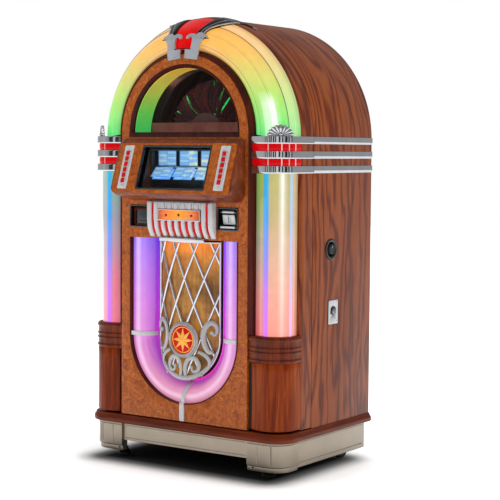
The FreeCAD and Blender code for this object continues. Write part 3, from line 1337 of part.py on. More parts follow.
def knuckle(name, low, high, leaf, bore_radius):
    barrel = cylinder(name + "_barrel", "z", "hinge_radius", (low, high), x="hinge_x",
                      y="seam_y")
    bore = cylinder(name + "_bore", "z", bore_radius, (f"{low} - 5", f"{high} + 5"),
                    x="hinge_x", y="seam_y")
    return cut(name, fuse(name + "_blank", barrel, leaf), bore)


# ---------------------------------------------------------------- build and write

def check(item):
    if any(word in item.State for word in ("Invalid", "Error")):
        raise RuntimeError(f"{item.Label}: {item.State}")


def write_parts():
    doc.recompute()
    for item in doc.Objects:
        check(item)
    for item in nodes:
        if item.Shape.isNull() or not item.Shape.isValid():
            raise RuntimeError(f"{item.Label} has no valid shape")
        if not item.Shape.Solids:
            raise RuntimeError(f"{item.Label} has no solid")
    os.makedirs("parts", exist_ok=True)
    for item in nodes:
        item.Shape.exportStep(f"parts/{item.Label}.step")
    print(len(nodes), "nodes")


fill_sheet()
cabinet_shell()
back_panel()
base()
inner_boards()
plinth()
levelling_feet()
castors()
cabinet_bands()
side_fittings()
door_structure()
front_panel()
light_columns()
arch_lights()
window()
console_housing()
title_rack(console_face())
selector()
coin_parts()
grille(light_tube())
mechanism()
sound()
hinge()
write_parts()
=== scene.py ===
"""The looks of a floor-standing jukebox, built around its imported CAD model.

Points are written in millimetres in the CAD frame (front is -Y, +Z up) and become metres in each mesh.
"""
import math

import bmesh
import bpy
from mathutils import Matrix, Vector


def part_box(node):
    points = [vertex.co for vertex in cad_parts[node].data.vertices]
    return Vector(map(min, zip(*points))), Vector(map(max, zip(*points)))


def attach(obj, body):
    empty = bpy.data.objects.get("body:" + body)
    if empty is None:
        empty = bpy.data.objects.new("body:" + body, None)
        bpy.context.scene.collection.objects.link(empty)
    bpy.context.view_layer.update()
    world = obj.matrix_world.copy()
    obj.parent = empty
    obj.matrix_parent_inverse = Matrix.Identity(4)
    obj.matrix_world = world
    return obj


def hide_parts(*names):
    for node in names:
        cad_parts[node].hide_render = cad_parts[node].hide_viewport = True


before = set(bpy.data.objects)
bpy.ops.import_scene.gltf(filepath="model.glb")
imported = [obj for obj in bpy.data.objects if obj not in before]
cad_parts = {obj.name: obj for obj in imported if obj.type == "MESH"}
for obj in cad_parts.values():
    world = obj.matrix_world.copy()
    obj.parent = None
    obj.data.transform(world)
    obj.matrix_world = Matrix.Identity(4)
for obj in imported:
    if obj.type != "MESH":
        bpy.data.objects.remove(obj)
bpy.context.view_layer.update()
MM = 0.001


# ---------------------------------------------------------------- sizes read from the frame

def span(node):
    """Lowest and highest corner of a CAD node in millimetres."""
    low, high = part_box(node)
    return low / MM, high / MM


SHELL_LOW, SHELL_HIGH = span("cabinet_shell")
HALF = SHELL_HIGH.x                    # half the cabinet's width, also the arch's outer radius
ARCH_Z = SHELL_HIGH.z - HALF           # height of the outer arch's centre
BACK = SHELL_HIGH.y
SEAM = SHELL_LOW.y                     # where the door meets the cabinet
PANEL_LOW, PANEL_HIGH = span("front_panel")
FACE = PANEL_LOW.y                     # front face of the burl panel
PANEL_HALF = PANEL_HIGH.x
RING_Z = PANEL_HIGH.z - PANEL_HALF     # height of the centre of the burl ring
RING_RADIUS = 275.0                    # the lit arch meets the dark reveal here
RIM_RADIUS = 372.0                     # beyond this radius everything is centred on the outer arch
LENS_LOW, LENS_HIGH = span("column_lenses")
TUBE_LOW, TUBE_HIGH = span("light_tube")
MEDAL_LOW, MEDAL_HIGH = span("medallion")
BOW_Z = (MEDAL_LOW.z + MEDAL_HIGH.z) / 2   # centre of the light tube's bend
CORNER = 62.0                          # plan radius of the column lens
CORNER_X = LENS_HIGH.x - CORNER
CORNER_Y = LENS_LOW.y + CORNER
SHELL_WALL = 18.0
REVEAL = 15.0                          # width of the dark reveal round the burl panel
WINDOW_Z = 1110.0                      # centre height of the disc window
WINDOW = 225.0                         # radius of the disc window
TUBE_OPENING = 222.5                   # half width of the opening round the light tube
GRILLE_HALF = 133.0                    # half width of the grille inside the light tube
LOCK = (64.0, 527.0)                   # turning centre of the key plug: y, z
CAM_REST = math.radians(-45)           # angle of the lock's cam at rest
CAM_REACH = 16.0                       # distance of the cam's pin from the turning centre
BEND_DROP = 0.08                       # share by which the grille's round end is longer than a half circle
MEDAL_Z = BOW_Z - 8                    # centre of the medallion
DOOR_BACK = -128.0                     # back edge of what wraps the door's columns
COVE_BACK = -80.0                      # back of the cove and of the door's uprights
FRAME_BACK = -65.5                     # back of the door's rim
BOARD_HALF = 381.5                     # half width of the reflector board
LENS_EDGE = 275.0                      # inner edge of the column lenses
RED_EDGE = 266.0                       # inner edge of the red lenses between the bands
BAND_LEVELS = ((983, 1007), (1030, 1054), (1077, 1101))
RECESS = (141.0, 221.0)                # inner and outer side of the coin recesses
TWEETER = (210.0, 622.0)               # centre of the right tweeter: x, z
PLUG_HOLE = 10.6                       # radius of the hole for the key plug
PANE_RADIUS = 210.5                    # radius of the disc window's pane
LINER_RADIUS = 217.6                   # outer radius of the disc window's lit liner
GRILLE_TOP = 754.0                     # upper edge of the grille


# ---------------------------------------------------------------- plane geometry

def arc(centre, radius, start, end, steps):
    """Points of a circular arc, angles in degrees."""
    points = []
    for i in range(steps + 1):
        angle = math.radians(start + (end - start) * i / steps)
        points.append((centre[0] + radius * math.cos(angle), centre[1] + radius * math.sin(angle)))
    return points


def circle(centre, radius, steps=48):
    return arc(centre, radius, 0, 360, steps)[:-1]


def rectangle(x0, x1, y0, y1):
    return [(x0, y0), (x1, y0), (x1, y1), (x0, y1)]


def rounded(corners, radius, steps=5):
    """A closed outline with each corner rounded."""
    points = []
    count = len(corners)
    for i, here in enumerate(corners):
        here = Vector(here)
        before = Vector(corners[i - 1]) - here
        after = Vector(corners[(i + 1) % count]) - here
        reach = min(radius, before.length * 0.48, after.length * 0.48)
        start = here + before.normalized() * reach
        end = here + after.normalized() * reach
        for k in range(steps + 1):
            t = k / steps
            points.append(tuple(start * (1 - t) ** 2 + here * 2 * t * (1 - t) + end * t ** 2))
    return points


def spline(points, steps=6):
    """A smooth open line through the points."""
    guide = [Vector(points[0])] + [Vector(p) for p in points] + [Vector(points[-1])]
    line = []
    for i in range(1, len(guide) - 2):
        a, b, c, d = guide[i - 1:i + 3]
        for k in range(steps):
            t = k / steps
            line.append(0.5 * (2 * b + (c - a) * t + (2 * a - 5 * b + 4 * c - d) * t * t
                               + (3 * b - a - 3 * c + d) * t ** 3))
    line.append(guide[-1])
    return [tuple(p) for p in line]


# ---------------------------------------------------------------- gathering meshes

BOX_FACES = [(0, 1, 2, 3), (4, 5, 6, 7), (0, 1, 5, 4), (1, 2, 6, 5), (2, 3, 7, 6), (3, 0, 4, 7)]
WELD = 0.01                            # points closer than this become one


def placed(name, data):
    """A new object in the scene."""
    made = bpy.data.objects.new(name, data)
    bpy.context.scene.collection.objects.link(made)
    return made


def finished_mesh(piece):
    """A new mesh: the object with its modifiers applied."""
    bpy.context.view_layer.update()
    return bpy.data.meshes.new_from_object(piece.evaluated_get(bpy.context.evaluated_depsgraph_get()))


def welded(mesh, thin=True):
    """Joins coincident points and turns faces outwards; thin also clears faces without area."""
    work = bmesh.new()
    work.from_mesh(mesh)
    bmesh.ops.remove_doubles(work, verts=work.verts, dist=WELD * MM)
    if thin:
        bmesh.ops.dissolve_degenerate(work, edges=work.edges, dist=WELD * MM * 0.1)
    bmesh.ops.recalc_face_normals(work, faces=work.faces)
    work.to_mesh(mesh)
    work.free()


class Form:
    """Points in millimetres and faces, gathered before they become one piece."""

    def __init__(self):
        self.points = []
        self.faces = []
        self.skins = []
        self.corners = []

    def add(self, points, faces, skin=0, corners=None):
        start = len(self.points)
        self.points.extend(Vector(p) for p in points)
        for k, face in enumerate(faces):
            self.faces.append([start + i for i in face])
            self.skins.append(skin)
            self.corners.append(corners[k] if corners else [(0, 0)] * len(face))

    def grid(self, rows, ring=False, loop=False, caps=False, unit=False):
        """Quads between rows of points. ring closes each row, loop joins the last row to the first."""
        wide = len(rows[0])
        along = [0.0]
        across = [0.0]
        for j in range(1, wide + 1):
            step = (Vector(rows[0][j % wide]) - Vector(rows[0][j - 1])).length
            across.append(across[-1] + step)
        for i in range(1, len(rows) + 1):
            step = (Vector(rows[i % len(rows)][0]) - Vector(rows[i - 1][0])).length
            along.append(along[-1] + step)
        if unit:
            width = across[wide] if ring else across[wide - 1]
            length = along[len(rows)] if loop else along[len(rows) - 1]
            across = [a / width for a in across]
            along = [a / length for a in along]
        else:
            across = [a * MM for a in across]
            along = [a * MM for a in along]
        points = [p for row in rows for p in row]
        faces = []
        corners = []
        for i in range(len(rows) if loop else len(rows) - 1):
            for j in range(wide if ring else wide - 1):
                a = i * wide + j
                b = i * wide + (j + 1) % wide
                c = ((i + 1) % len(rows)) * wide + (j + 1) % wide
                d = ((i + 1) % len(rows)) * wide + j
                faces.append([a, b, c, d])
                corners.append([(across[j], along[i]), (across[j + 1], along[i]),
                                (across[j + 1], along[i + 1]), (across[j], along[i + 1])])
        if caps:
            last = (len(rows) - 1) * wide
            faces.append(list(range(wide)))
            faces.append([last + j for j in range(wide)])
            corners.append([(across[j], along[0]) for j in range(wide)])
            corners.append([(across[j], along[len(rows) - 1]) for j in range(wide)])
        self.add(points, faces, corners=corners)

    def plate(self, loops, depth, place, bevel=0.8, skin=0, rounds=2):
        """A flat piece with holes: closed outlines in a plane, thickened by depth from 0 upwards."""
        curve = bpy.data.curves.new("plate", "CURVE")
        curve.dimensions = "2D"
        curve.fill_mode = "BOTH"
        curve.extrude = depth / 2 - bevel
        curve.bevel_depth = bevel
        curve.bevel_resolution = rounds
        curve.offset = -bevel
        for outline in loops:
            line = curve.splines.new("POLY")
            line.points.add(len(outline) - 1)
            for k, point in enumerate(outline):
                line.points[k].co = (point[0], point[1], 0, 1)
            line.use_cyclic_u = True
        holder = placed("plate", curve)
        mesh = finished_mesh(holder)
        points = [place(v.co.x, v.co.y, v.co.z + depth / 2) for v in mesh.vertices]
        self.add(points, [list(p.vertices) for p in mesh.polygons], skin)
        bpy.data.objects.remove(holder)
        bpy.data.curves.remove(curve)
        bpy.data.meshes.remove(mesh)

    def lathe(self, profile, place, steps=40, closed=True):
        """Turns a profile of (radius, height) points about the local third axis."""
        rows = []
        for i in range(steps):
            angle = 2 * math.pi * i / steps
            rows.append([place(r * math.cos(angle), r * math.sin(angle), h) for r, h in profile])
        self.grid(rows, ring=closed, loop=True)

    def rod(self, path, radius, sides=10, flat=1.0, normal=None):
        """A round bar along a path; radius may be one number or a function of the share 0..1."""
        path = [Vector(p) for p in path]
        last = len(path) - 1
        rows = []
        up = Vector(normal) if normal else None
        for i, point in enumerate(path):
            tangent = (path[min(i + 1, last)] - path[max(i - 1, 0)]).normalized()
            if up is None:
                up = tangent.orthogonal().normalized()
            side = tangent.cross(up).normalized()
            lift = side.cross(tangent).normalized()
            if normal is None:
                up = lift
            size = radius(i / last) if callable(radius) else radius
            rows.append([point + side * size * math.cos(2 * math.pi * k / sides)
                         + lift * size * flat * math.sin(2 * math.pi * k / sides) for k in range(sides)])
        self.grid(rows, ring=True, caps=True)

    def ball(self, centre, radius, flat=(1, 1, 1), steps=14):
        rows = []
        for i in range(steps + 1):
            tilt = math.pi * i / steps
            rows.append([(centre[0] + flat[0] * radius * math.sin(tilt) * math.cos(2 * math.pi * k / steps),
                          centre[1] + flat[1] * radius * math.sin(tilt) * math.sin(2 * math.pi * k / steps),
                          centre[2] + flat[2] * radius * math.cos(tilt)) for k in range(steps)])
        self.grid(rows, ring=True)

    def block(self, low, high, bevel=1.0):
        """A board with rounded edges."""
        outline = rounded(rectangle(low[0], high[0], low[2], high[2]), bevel * 1.5, 3)
        self.plate([outline], high[1] - low[1], lambda a, b, c: (a, high[1] - c, b), bevel)

    def mirrored(self):
        """Adds the same faces mirrored to the other side."""
        points = [(-p.x, p.y, p.z) for p in self.points]
        faces = [list(reversed(f)) for f in self.faces]
        corners = [list(reversed(c)) for c in self.corners]
        skins = list(self.skins)
        start = len(self.faces)
        self.add(points, faces, 0, corners)
        self.skins[start:] = skins
        return self

    def make(self, name, body, materials, replaces=(), sharp=38):
        """Turns the form into a piece that rides on a body."""
        mesh = bpy.data.meshes.new(name)
        mesh.from_pydata([p * MM for p in self.points], [], self.faces)
        layer = mesh.uv_layers.new(name="UVMap")
        flat = [uv for face in self.corners for uv in face]
        for i, uv in enumerate(flat):
            layer.data[i].uv = uv
        materials = materials if isinstance(materials, (list, tuple)) else [materials]
        for material in materials:
            mesh.materials.append(material)
        mesh.polygons.foreach_set("material_index", self.skins)
        welded(mesh)
        mesh.shade_smooth()
        mesh.set_sharp_from_angle(angle=math.radians(sharp))
        piece = placed(name, mesh)
        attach(piece, body)
        if replaces:
            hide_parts(*replaces)
        return piece


def swept(rows, name, body, material, replaces=(), both=False, sharp=38):
    """A piece that is one closed bar through the rows; both adds its mirror image."""
    form = Form()
    form.grid(rows, ring=True, caps=True)
    if both:
        form.mirrored()
    return form.make(name, body, material, replaces, sharp)


def front(y):
    """Plate placement: lies in the XZ plane and grows towards the front from y."""
    return lambda a, b, c: (a, y - c, b)


def right_side(x):
    """Plate placement: lies on the right side and grows outwards from x."""
    return lambda a, b, c: (x + c, a, b)


def arch_centre(radius):
    """Height of the centre that a ring of this radius is drawn about."""
    share = (radius - RING_RADIUS) / (RIM_RADIUS - RING_RADIUS)
    return RING_Z + (ARCH_Z - RING_Z) * min(1.0, max(0.0, share))


def arch_point(radius, angle, y):
    """A point on the arch, angle from +X in radians."""
    return (radius * math.cos(angle), y, arch_centre(radius) + radius * math.sin(angle))


def arch_rows(profile, foot, steps=96):
    """Rows for a profile of (radius, y) that runs up the right leg, over the arch and down the left leg."""
    rows = [[(r, y, foot) for r, y in profile]]
    for i in range(steps + 1):
        angle = math.pi * i / steps
        rows.append([arch_point(r, angle, y) for r, y in profile])
    rows.append([(-r, y, foot) for r, y in profile])
    return rows


def corner_path(proud, inner, end):
    """Plan of a column from beside the burl panel round to the door's back edge, right side."""
    radius = CORNER + proud
    path = [(inner, CORNER_Y - radius + 11), ((inner + CORNER_X) / 2, CORNER_Y - radius + 4)]
    path = spline(path + [(CORNER_X, CORNER_Y - radius)], 5)[:-1]
    path += arc((CORNER_X, CORNER_Y), radius, -90, 0, 16)
    path.append((CORNER_X + radius, end))
    return path


def column_rows(profile, inner, end):
    """Rows for a profile of (proud, z) swept round a column."""
    paths = [corner_path(proud, inner, end) for proud, _ in profile]
    return [[(path[i][0], path[i][1], z) for path, (_, z) in zip(paths,
                                                                 profile)] for i in range(len(paths[0]))]


# ---------------------------------------------------------------- materials

def rgb(code):
    """A colour written as rrggbb, in linear light."""
    values = [int(code[i:i + 2], 16) / 255 for i in (0, 2, 4)]
    return tuple(v / 12.92 if v <= 0.04045 else ((v + 0.055) / 1.055) ** 2.4 for v in values) + (1.0,)


def add_node(tree, kind, inputs=None, **settings):
    """A new node; each input is given a value or the socket that feeds it."""
    made = tree.nodes.new("ShaderNode" + kind)
    for key, value in settings.items():
        setattr(made, key, value)
    for key, value in (inputs or {}).items():
        if isinstance(value, bpy.types.NodeSocket):
            tree.links.new(value, made.inputs[key])
        else:
            made.inputs[key].default_value = value
    return made


def colour_ramp(tree, value, stops, mode="LINEAR"):
    """A colour ramp; each stop is a place and either a colour code or a grey level."""
    made = add_node(tree, "ValToRGB", {0: value})
    made.color_ramp.interpolation = mode
    line = made.color_ramp.elements
    while len(line) < len(stops):
        line.new(0.5)
    for element, (spot, code) in zip(line, stops):
        element.position = spot
        element.color = rgb(code) if isinstance(code, str) else (code, code, code, 1)
    return made.outputs[0]


class Shader:
    """A short way to write a node material."""

    def __init__(self, name):
        self.material = bpy.data.materials.new(name)
        self.material.use_nodes = True
        self.tree = self.material.node_tree
        self.tree.nodes.clear()
        self.out = self.tree.nodes.new("ShaderNodeOutputMaterial")

    def node(self, kind, inputs=None, **settings):
        return add_node(self.tree, kind, inputs, **settings)

    def place(self, kind="Object"):
        return self.node("TexCoord").outputs[kind]

    def split(self, vector):
        return self.node("SeparateXYZ", {0: vector}).outputs

    def join(self, x, y, z):
        return self.node("CombineXYZ", {0: x, 1: y, 2: z}).outputs[0]

    def stretch(self, vector, scale):
        return self.node("VectorMath", {0: vector, 1: scale}, operation="MULTIPLY").outputs[0]

    def shift(self, vector, other, amount):
        moved = self.node("VectorMath", {0: other, "Scale": amount}, operation="SCALE").outputs[0]
        return self.node("VectorMath", {0: vector, 1: moved}, operation="ADD").outputs[0]

    def math(self, operation, a, b=0.0):
        return self.node("Math", {0: a, 1: b, 2: 0.0}, operation=operation).outputs[0]

    def times(self, a, b):
        return self.math("MULTIPLY", a, b)

    def plus(self, a, b):
        return self.math("ADD", a, b)

    def minus(self, a, b):
        return self.math("SUBTRACT", a, b)

    def hypot(self, x, z, middle):
        """Distance in millimetres from the point on the centre plane at this height."""
        across = self.times(x, 1 / MM)
        height = self.minus(self.times(z, 1 / MM), middle)
        squares = self.plus(self.times(across, across), self.times(height, height))
        return self.math("SQRT", squares)

    def noise(self, vector, scale, detail=4.0, rough=0.55, twist=0.0, colour=False):
        made = self.node("TexNoise", {"Vector": vector, "Scale": scale, "Detail": detail,
                                      "Roughness": rough, "Distortion": twist})
        return made.outputs["Color" if colour else 0]

    def cells(self, vector, scale):
        return self.node("TexVoronoi", {"Vector": vector, "Scale": scale}).outputs["Distance"]

    def span(self, value, low, high, to_low=0.0, to_high=1.0):
        made = self.node("MapRange", {0: value, 1: low, 2: high, 3: to_low, 4: to_high})
        return made.outputs[0]

    def ramp(self, value, stops, mode="LINEAR"):
        return colour_ramp(self.tree, value, stops, mode)

    def mix(self, share, a, b, blend="MIX"):
        made = self.node("MixRGB", {0: share, 1: a, 2: b}, blend_type=blend)
        return made.outputs[0]

    def bump(self, height, strength, distance):
        return self.node("Bump", {"Height": height, "Strength": strength, "Distance": distance}).outputs[0]

    def surface(self, **inputs):
        """Ends the material with a principled surface."""
        renamed = {key.replace("_", " "): value for key, value in inputs.items()}
        made = self.node("BsdfPrincipled", renamed)
        self.tree.links.new(made.outputs[0], self.out.inputs[0])
        return self.material


def oak_skin():
    """Oak with long cathedral figure, under satin lacquer. Grain runs along the sheet's length (UV v)."""
    s = Shader("oak_veneer")
    uv = s.split(s.place("UV"))
    flat = s.join(uv[0], uv[1], 0.0)
    drift = s.noise(s.stretch(flat, (7.0, 1.3, 1.0)), 1.0, 3.0, 0.5)
    wave = s.plus(s.times(uv[0], 118.0), s.times(drift, 52.0))
    rings = s.math("SINE", wave)
    rings = s.span(rings, -1.0, 1.0)
    rings = s.math("POWER", rings, 2.6)
    pores = s.noise(s.stretch(flat, (900.0, 26.0, 1.0)), 1.0, 3.0, 0.7)
    pores = s.span(pores, 0.52, 0.72)
    fibres = s.noise(s.stretch(flat, (260.0, 5.0, 1.0)), 1.0, 5.0, 0.6)
    board = s.noise(s.stretch(flat, (3.0, 0.6, 1.0)), 1.0, 2.0, 0.5)
    tone = s.plus(s.times(rings, 0.36), s.times(fibres, 0.66))
    colour = s.ramp(tone, [(0.18, "a25626"), (0.40, "844018"), (0.62, "68290d"), (0.90, "421808")])
    colour = s.mix(s.times(pores, 0.65), colour, rgb("3a1a0e"))
    colour = s.mix(s.span(board, 0.35, 0.7, 0.0, 0.45), colour, rgb("8a4a26"), "MULTIPLY")
    height = s.minus(s.times(fibres, 0.4), pores)
    rough = s.span(fibres, 0.3, 0.7, 0.36, 0.50)
    return s.surface(Base_Color=colour, Roughness=rough, Specular_IOR_Level=0.2, Coat_Weight=0.08,
                     Coat_Roughness=0.28, Normal=s.bump(height, 0.16, 0.0006))


def burl_skin():
    """Burl veneer: curled, eyed figure in orange brown under clear gloss."""
    s = Shader("burl_veneer")
    where = s.place()
    curl = s.noise(where, 11.0, 3.0, 0.55, colour=True)
    bent = s.shift(where, curl, 0.085)
    swirl = s.noise(bent, 40.0, 6.0, 0.72, 1.6)
    fine = s.noise(bent, 230.0, 4.0, 0.7, 0.6)
    eyes = s.cells(s.shift(where, curl, 0.03), 96.0)
    eyes = s.span(eyes, 0.05, 0.34, 1.0, 0.0)
    tone = s.plus(s.times(swirl, 0.78), s.times(fine, 0.3))
    colour = s.ramp(tone, [(0.30, "4c1a06"), (0.44, "82380c"), (0.55, "a25014"), (0.66, "ba661c"),
                           (0.82, "d28430")])
    colour = s.mix(s.times(eyes, 0.55), colour, rgb("4a1c0a"))
    return s.surface(Base_Color=colour, Roughness=s.span(fine, 0.3, 0.7, 0.36, 0.5),
                     Specular_IOR_Level=0.22, Coat_Weight=0.08, Coat_Roughness=0.08,
                     Normal=s.bump(fine, 0.06, 0.0004))


def gloss_wood(name, light, middle, dark, stretch=(38.0, 38.0, 3.2), coat=0.9, mirror=0.5):
    """Stained hardwood with straight grain under a thick gloss."""
    s = Shader(name)
    where = s.place()
    drift = s.noise(s.stretch(where, (6.0, 6.0, 1.4)), 1.0, 2.0, 0.5)
    grain = s.noise(s.stretch(where, stretch), 1.0, 7.0, 0.66, 1.2)
    lines = s.noise(s.stretch(where, tuple(5 * v for v in stretch)), 1.0, 3.0, 0.6)
    tone = s.plus(s.times(grain, 0.72), s.times(drift, 0.34))
    colour = s.ramp(tone, [(0.32, dark), (0.50, middle), (0.68, light)])
    colour = s.mix(s.span(lines, 0.56, 0.72, 0.0, 0.5), colour, rgb(dark))
    return s.surface(Base_Color=colour, Roughness=0.34, Specular_IOR_Level=mirror, Coat_Weight=coat,
                     Coat_Roughness=0.06, Normal=s.bump(lines, 0.05, 0.0004))


def metal(name, tint, rough, streak=(300.0, 300.0, 4.0), depth=0.1, spread=0.1):
    """Metal with fine directional polish and a little wear in its shine."""
    s = Shader(name)
    where = s.place()
    lines = s.noise(s.stretch(where, streak), 1.0, 3.0, 0.6)
    cloud = s.noise(where, 14.0, 3.0, 0.6)
    colour = s.mix(s.span(cloud, 0.35, 0.7, 0.0, 0.35), rgb(tint),
                   tuple(0.72 * v for v in rgb(tint)[:3]) + (1,))
    shine = s.plus(rough, s.times(s.minus(lines, 0.5), spread))
    return s.surface(Base_Color=colour, Metallic=1.0, Roughness=shine, Normal=s.bump(lines, depth, 0.0003))


def plastic(name, tint, rough=0.42, grain=900.0, depth=0.12, coat=0.0, mirror=0.5):
    """Moulded plastic with a faint spark-eroded texture."""
    s = Shader(name)
    where = s.place()
    pebble = s.noise(where, grain, 2.0, 0.6)
    cloud = s.noise(where, 22.0, 3.0, 0.55)
    light = tuple(min(1.0, 1.25 * v + 0.004) for v in rgb(tint)[:3]) + (1,)
    colour = s.mix(s.span(cloud, 0.3, 0.75), rgb(tint), light)
    return s.surface(Base_Color=colour, Roughness=s.span(cloud, 0.3, 0.7, rough - 0.07, rough + 0.08),
                     Specular_IOR_Level=mirror, Coat_Weight=coat, Coat_Roughness=0.08,
                     Normal=s.bump(pebble, depth, 0.0003))


def board(name, tint):
    """Pressed carcass board, painted thinly so that its chips still show."""
    s = Shader(name)
    where = s.place()
    chips = s.cells(where, 240.0)
    cloud = s.noise(where, 9.0, 4.0, 0.6)
    colour = s.mix(s.span(chips, 0.1, 0.5, 0.0, 0.5), rgb(tint),
                   tuple(1.5 * v for v in rgb(tint)[:3]) + (1,))
    colour = s.mix(s.span(cloud, 0.3, 0.7, 0.0, 0.4), colour, tuple(0.5 * v for v in rgb(tint)[:3]) + (1,))
    return s.surface(Base_Color=colour, Roughness=0.72, Normal=s.bump(chips, 0.12, 0.0005))


def lamp_plastic(name, glow, edge=0.55, strength=1.0, tint="e8e8e0", rough=0.16, edges=True, coat=0.5,
                 mirror=0.5):
    """Moulded translucent plastic lit from behind.

    glow is a function that takes the shader and returns the colour of the light.
    The light is fullest in the middle of the section (UV u) and weaker at its edges.
    """
    s = Shader(name)
    colour = glow(s)
    u = s.split(s.place("UV"))[0]
    haze = s.noise(s.place(), 30.0, 3.0, 0.5)
    level = s.span(haze, 0.3, 0.7, 0.93, 1.05)
    if edges:
        middle = s.ramp(u, [(0.0, edge), (0.16, 0.9), (0.5, 1.0), (0.84, 0.9), (1.0, edge)], "EASE")
        level = s.times(level, middle)
    level = s.times(level, strength)
    fine = s.noise(s.place(), 420.0, 2.0, 0.5)
    body = s.mix(1.0, s.mix(0.85, rgb(tint), colour), (0.30, 0.30, 0.30, 1.0), "MULTIPLY")
    return s.surface(Base_Color=body, Roughness=rough, IOR=1.49, Specular_IOR_Level=mirror,
                     Coat_Weight=coat, Coat_Roughness=0.05, Emission_Color=colour, Emission_Strength=level,
                     Normal=s.bump(fine, 0.02, 0.0003))


def height_glow(stops, low, high):
    """Light whose colour changes with height between two levels in millimetres."""
    def glow(s):
        z = s.split(s.place())[2]
        wander = s.noise(s.place(), 5.0, 2.0, 0.5)
        share = s.span(z, low * MM, high * MM)
        share = s.plus(share, s.times(s.minus(wander, 0.5), 0.06))
        return s.ramp(share, stops)
    return glow


def glass_sheet(name, tint="eef4f2", haze=0.03):
    """Clear sheet glass with a faint film of polish."""
    s = Shader(name)
    film = s.noise(s.place(), 18.0, 4.0, 0.6)
    clear = s.node("BsdfTransparent", {0: rgb(tint)}).outputs[0]
    shine = s.node("BsdfGlossy", {0: rgb("8a8480"), 1: s.span(film, 0.3, 0.7, 0.0, haze)}).outputs[0]
    leaving = s.node("NewGeometry").outputs["Backfacing"]
    share = s.times(s.node("Fresnel", {0: 1.5}).outputs[0], s.minus(1.0, leaving))
    mixed = s.node("MixShader", {0: share, 1: clear, 2: shine})
    s.tree.links.new(mixed.outputs[0], s.out.inputs[0])
    return s.material


def woven_gold():
    """Loosely woven gold cloth; the warm light of the lamp behind it is painted on as a glow."""
    s = Shader("gold_cloth")
    xyz = s.split(s.place())
    warp = s.math("SINE", s.times(xyz[0], 2600.0))
    weft = s.math("SINE", s.times(xyz[2], 2600.0))
    weave = s.times(warp, weft)
    weave = s.span(weave, -1.0, 1.0)
    cloud = s.noise(s.place(), 13.0, 4.0, 0.6)
    fold = s.noise(s.stretch(s.place(), (70.0, 1.0, 4.0)), 1.0, 3.0, 0.6)
    tone = s.plus(s.times(cloud, 0.6), s.times(fold, 0.45))
    colour = s.ramp(tone, [(0.34, "4c3212"), (0.50, "7c5524"), (0.64, "a67632"), (0.8, "cfa45c")])
    colour = s.mix(s.times(weave, 0.35), colour, rgb("32200a"))
    # painted light: an orange pool of light over the top of the cloth and a streak along its left edge
    top = s.math("POWER", s.span(xyz[2], 0.60, 0.755), 2.2)
    side = s.span(xyz[0], -0.112, -0.13, 0.0, 0.35)
    painted_glow_pool = s.math("MAXIMUM", top, side)
    # painted glow in patches across the cloth, standing in for the lamp behind it
    lamp = s.ramp(cloud, [(0.35, 0.10), (0.62, 0.42)])
    hue = s.mix(painted_glow_pool, s.mix(0.5, colour, rgb("e09038")), rgb("ff7a08"))
    return s.surface(Base_Color=colour, Metallic=0.2, Roughness=0.5, Emission_Color=hue,
                     Emission_Strength=s.plus(lamp, s.times(painted_glow_pool, 0.75)),
                     Normal=s.bump(weave, 0.5, 0.0004))


def mirror_disc():
    """Pressed discs seen on edge: dark, with a painted green or red glint where one catches a lamp, and a
    faint painted glow.
    """
    s = Shader("disc_silver")
    xyz = s.split(s.place())
    turn = s.math("ARCTAN2", xyz[0], s.minus(xyz[2], WINDOW_Z * MM))
    along = s.join(s.times(turn, 17.0), s.times(xyz[1], 9.0), 0.0)
    # painted glints: thin green and red flashes on the disc edges, placed by noise round the carousel
    picks = s.noise(along, 1.0, 1.0, 0.5)
    green = s.ramp(picks, [(0.0, 0.0), (0.672, 0.0), (0.684, 1.0), (0.700, 1.0), (0.712, 0.0)])
    dashes = s.noise(s.place(), 34.0, 1.0, 0.5)
    green = s.times(green, s.span(dashes, 0.46, 0.5))
    other = s.noise(s.stretch(along, (1.4, 1.0, 1.0)), 1.7, 1.0, 0.5)
    red = s.ramp(other, [(0.0, 0.0), (0.60, 0.0), (0.68, 0.6), (0.8, 0.6)])
    rim = s.noise(s.join(s.times(turn, 31.0), 0.0, 0.0), 1.0, 3.0, 0.7)
    hue = s.ramp(rim, [(0.38, "1c1418"), (0.5, "40262a"), (0.64, "6a3634")])
    hue = s.mix(s.times(red, 0.6), hue, rgb("8a2c20"))
    hue = s.mix(green, hue, rgb("28e070"))
    # painted light: every disc glows a little, the green glints most
    lit = s.plus(s.times(green, 0.7), 0.34)
    fine = s.noise(s.place(), 700.0, 2.0, 0.5)
    return s.surface(Base_Color=hue, Metallic=0.4, Roughness=s.span(fine, 0.3, 0.7, 0.2, 0.32),
                     Emission_Color=hue, Emission_Strength=lit)


def hub_skin():
    """Plate behind the discs: dim red brown, with painted shade from the edges of the discs in front of it
    and a painted glow.
    """
    s = Shader("hub_brown")
    xyz = s.split(s.place())
    turn = s.math("ARCTAN2", xyz[0], s.minus(xyz[2], WINDOW_Z * MM))
    # painted shade: darker streaks by angle where the discs' edges stand in front of the plate
    edges = s.noise(s.join(s.times(turn, 24.0), 0.0, 0.0), 1.0, 4.0, 0.8)
    colour = s.ramp(edges, [(0.36, "100c0e"), (0.5, "2e1a1c"), (0.62, "5c2c2a"), (0.72, "241418")])
    # painted glow: the plate glows though no lamp is in it
    return s.surface(Base_Color=colour, Roughness=0.5, Emission_Color=colour, Emission_Strength=0.8)


GREEN_TOP = [(0.0, "46dc78"), (0.16, "74dc6c"), (0.36, "a4d862"), (0.56, "ccc862"), (0.76, "e8b450"),
             (1.0, "f2a83c")]
ARCH_LINES = ((298.5, 2.4, 0.36), (304.5, 1.4, 0.24), (343.5, 2.0, 0.32), (349.0, 1.2, 0.18),
              (374.6, 1.1, 0.75))


def arch_radius(s, x, z):
    """Distance from the middle of the arch in millimetres, allowing for its two centres."""
    rough = s.hypot(x, z, (RING_Z + ARCH_Z) / 2)
    return s.hypot(x, z, s.span(rough, RING_RADIUS, RIM_RADIUS, RING_Z, ARCH_Z))


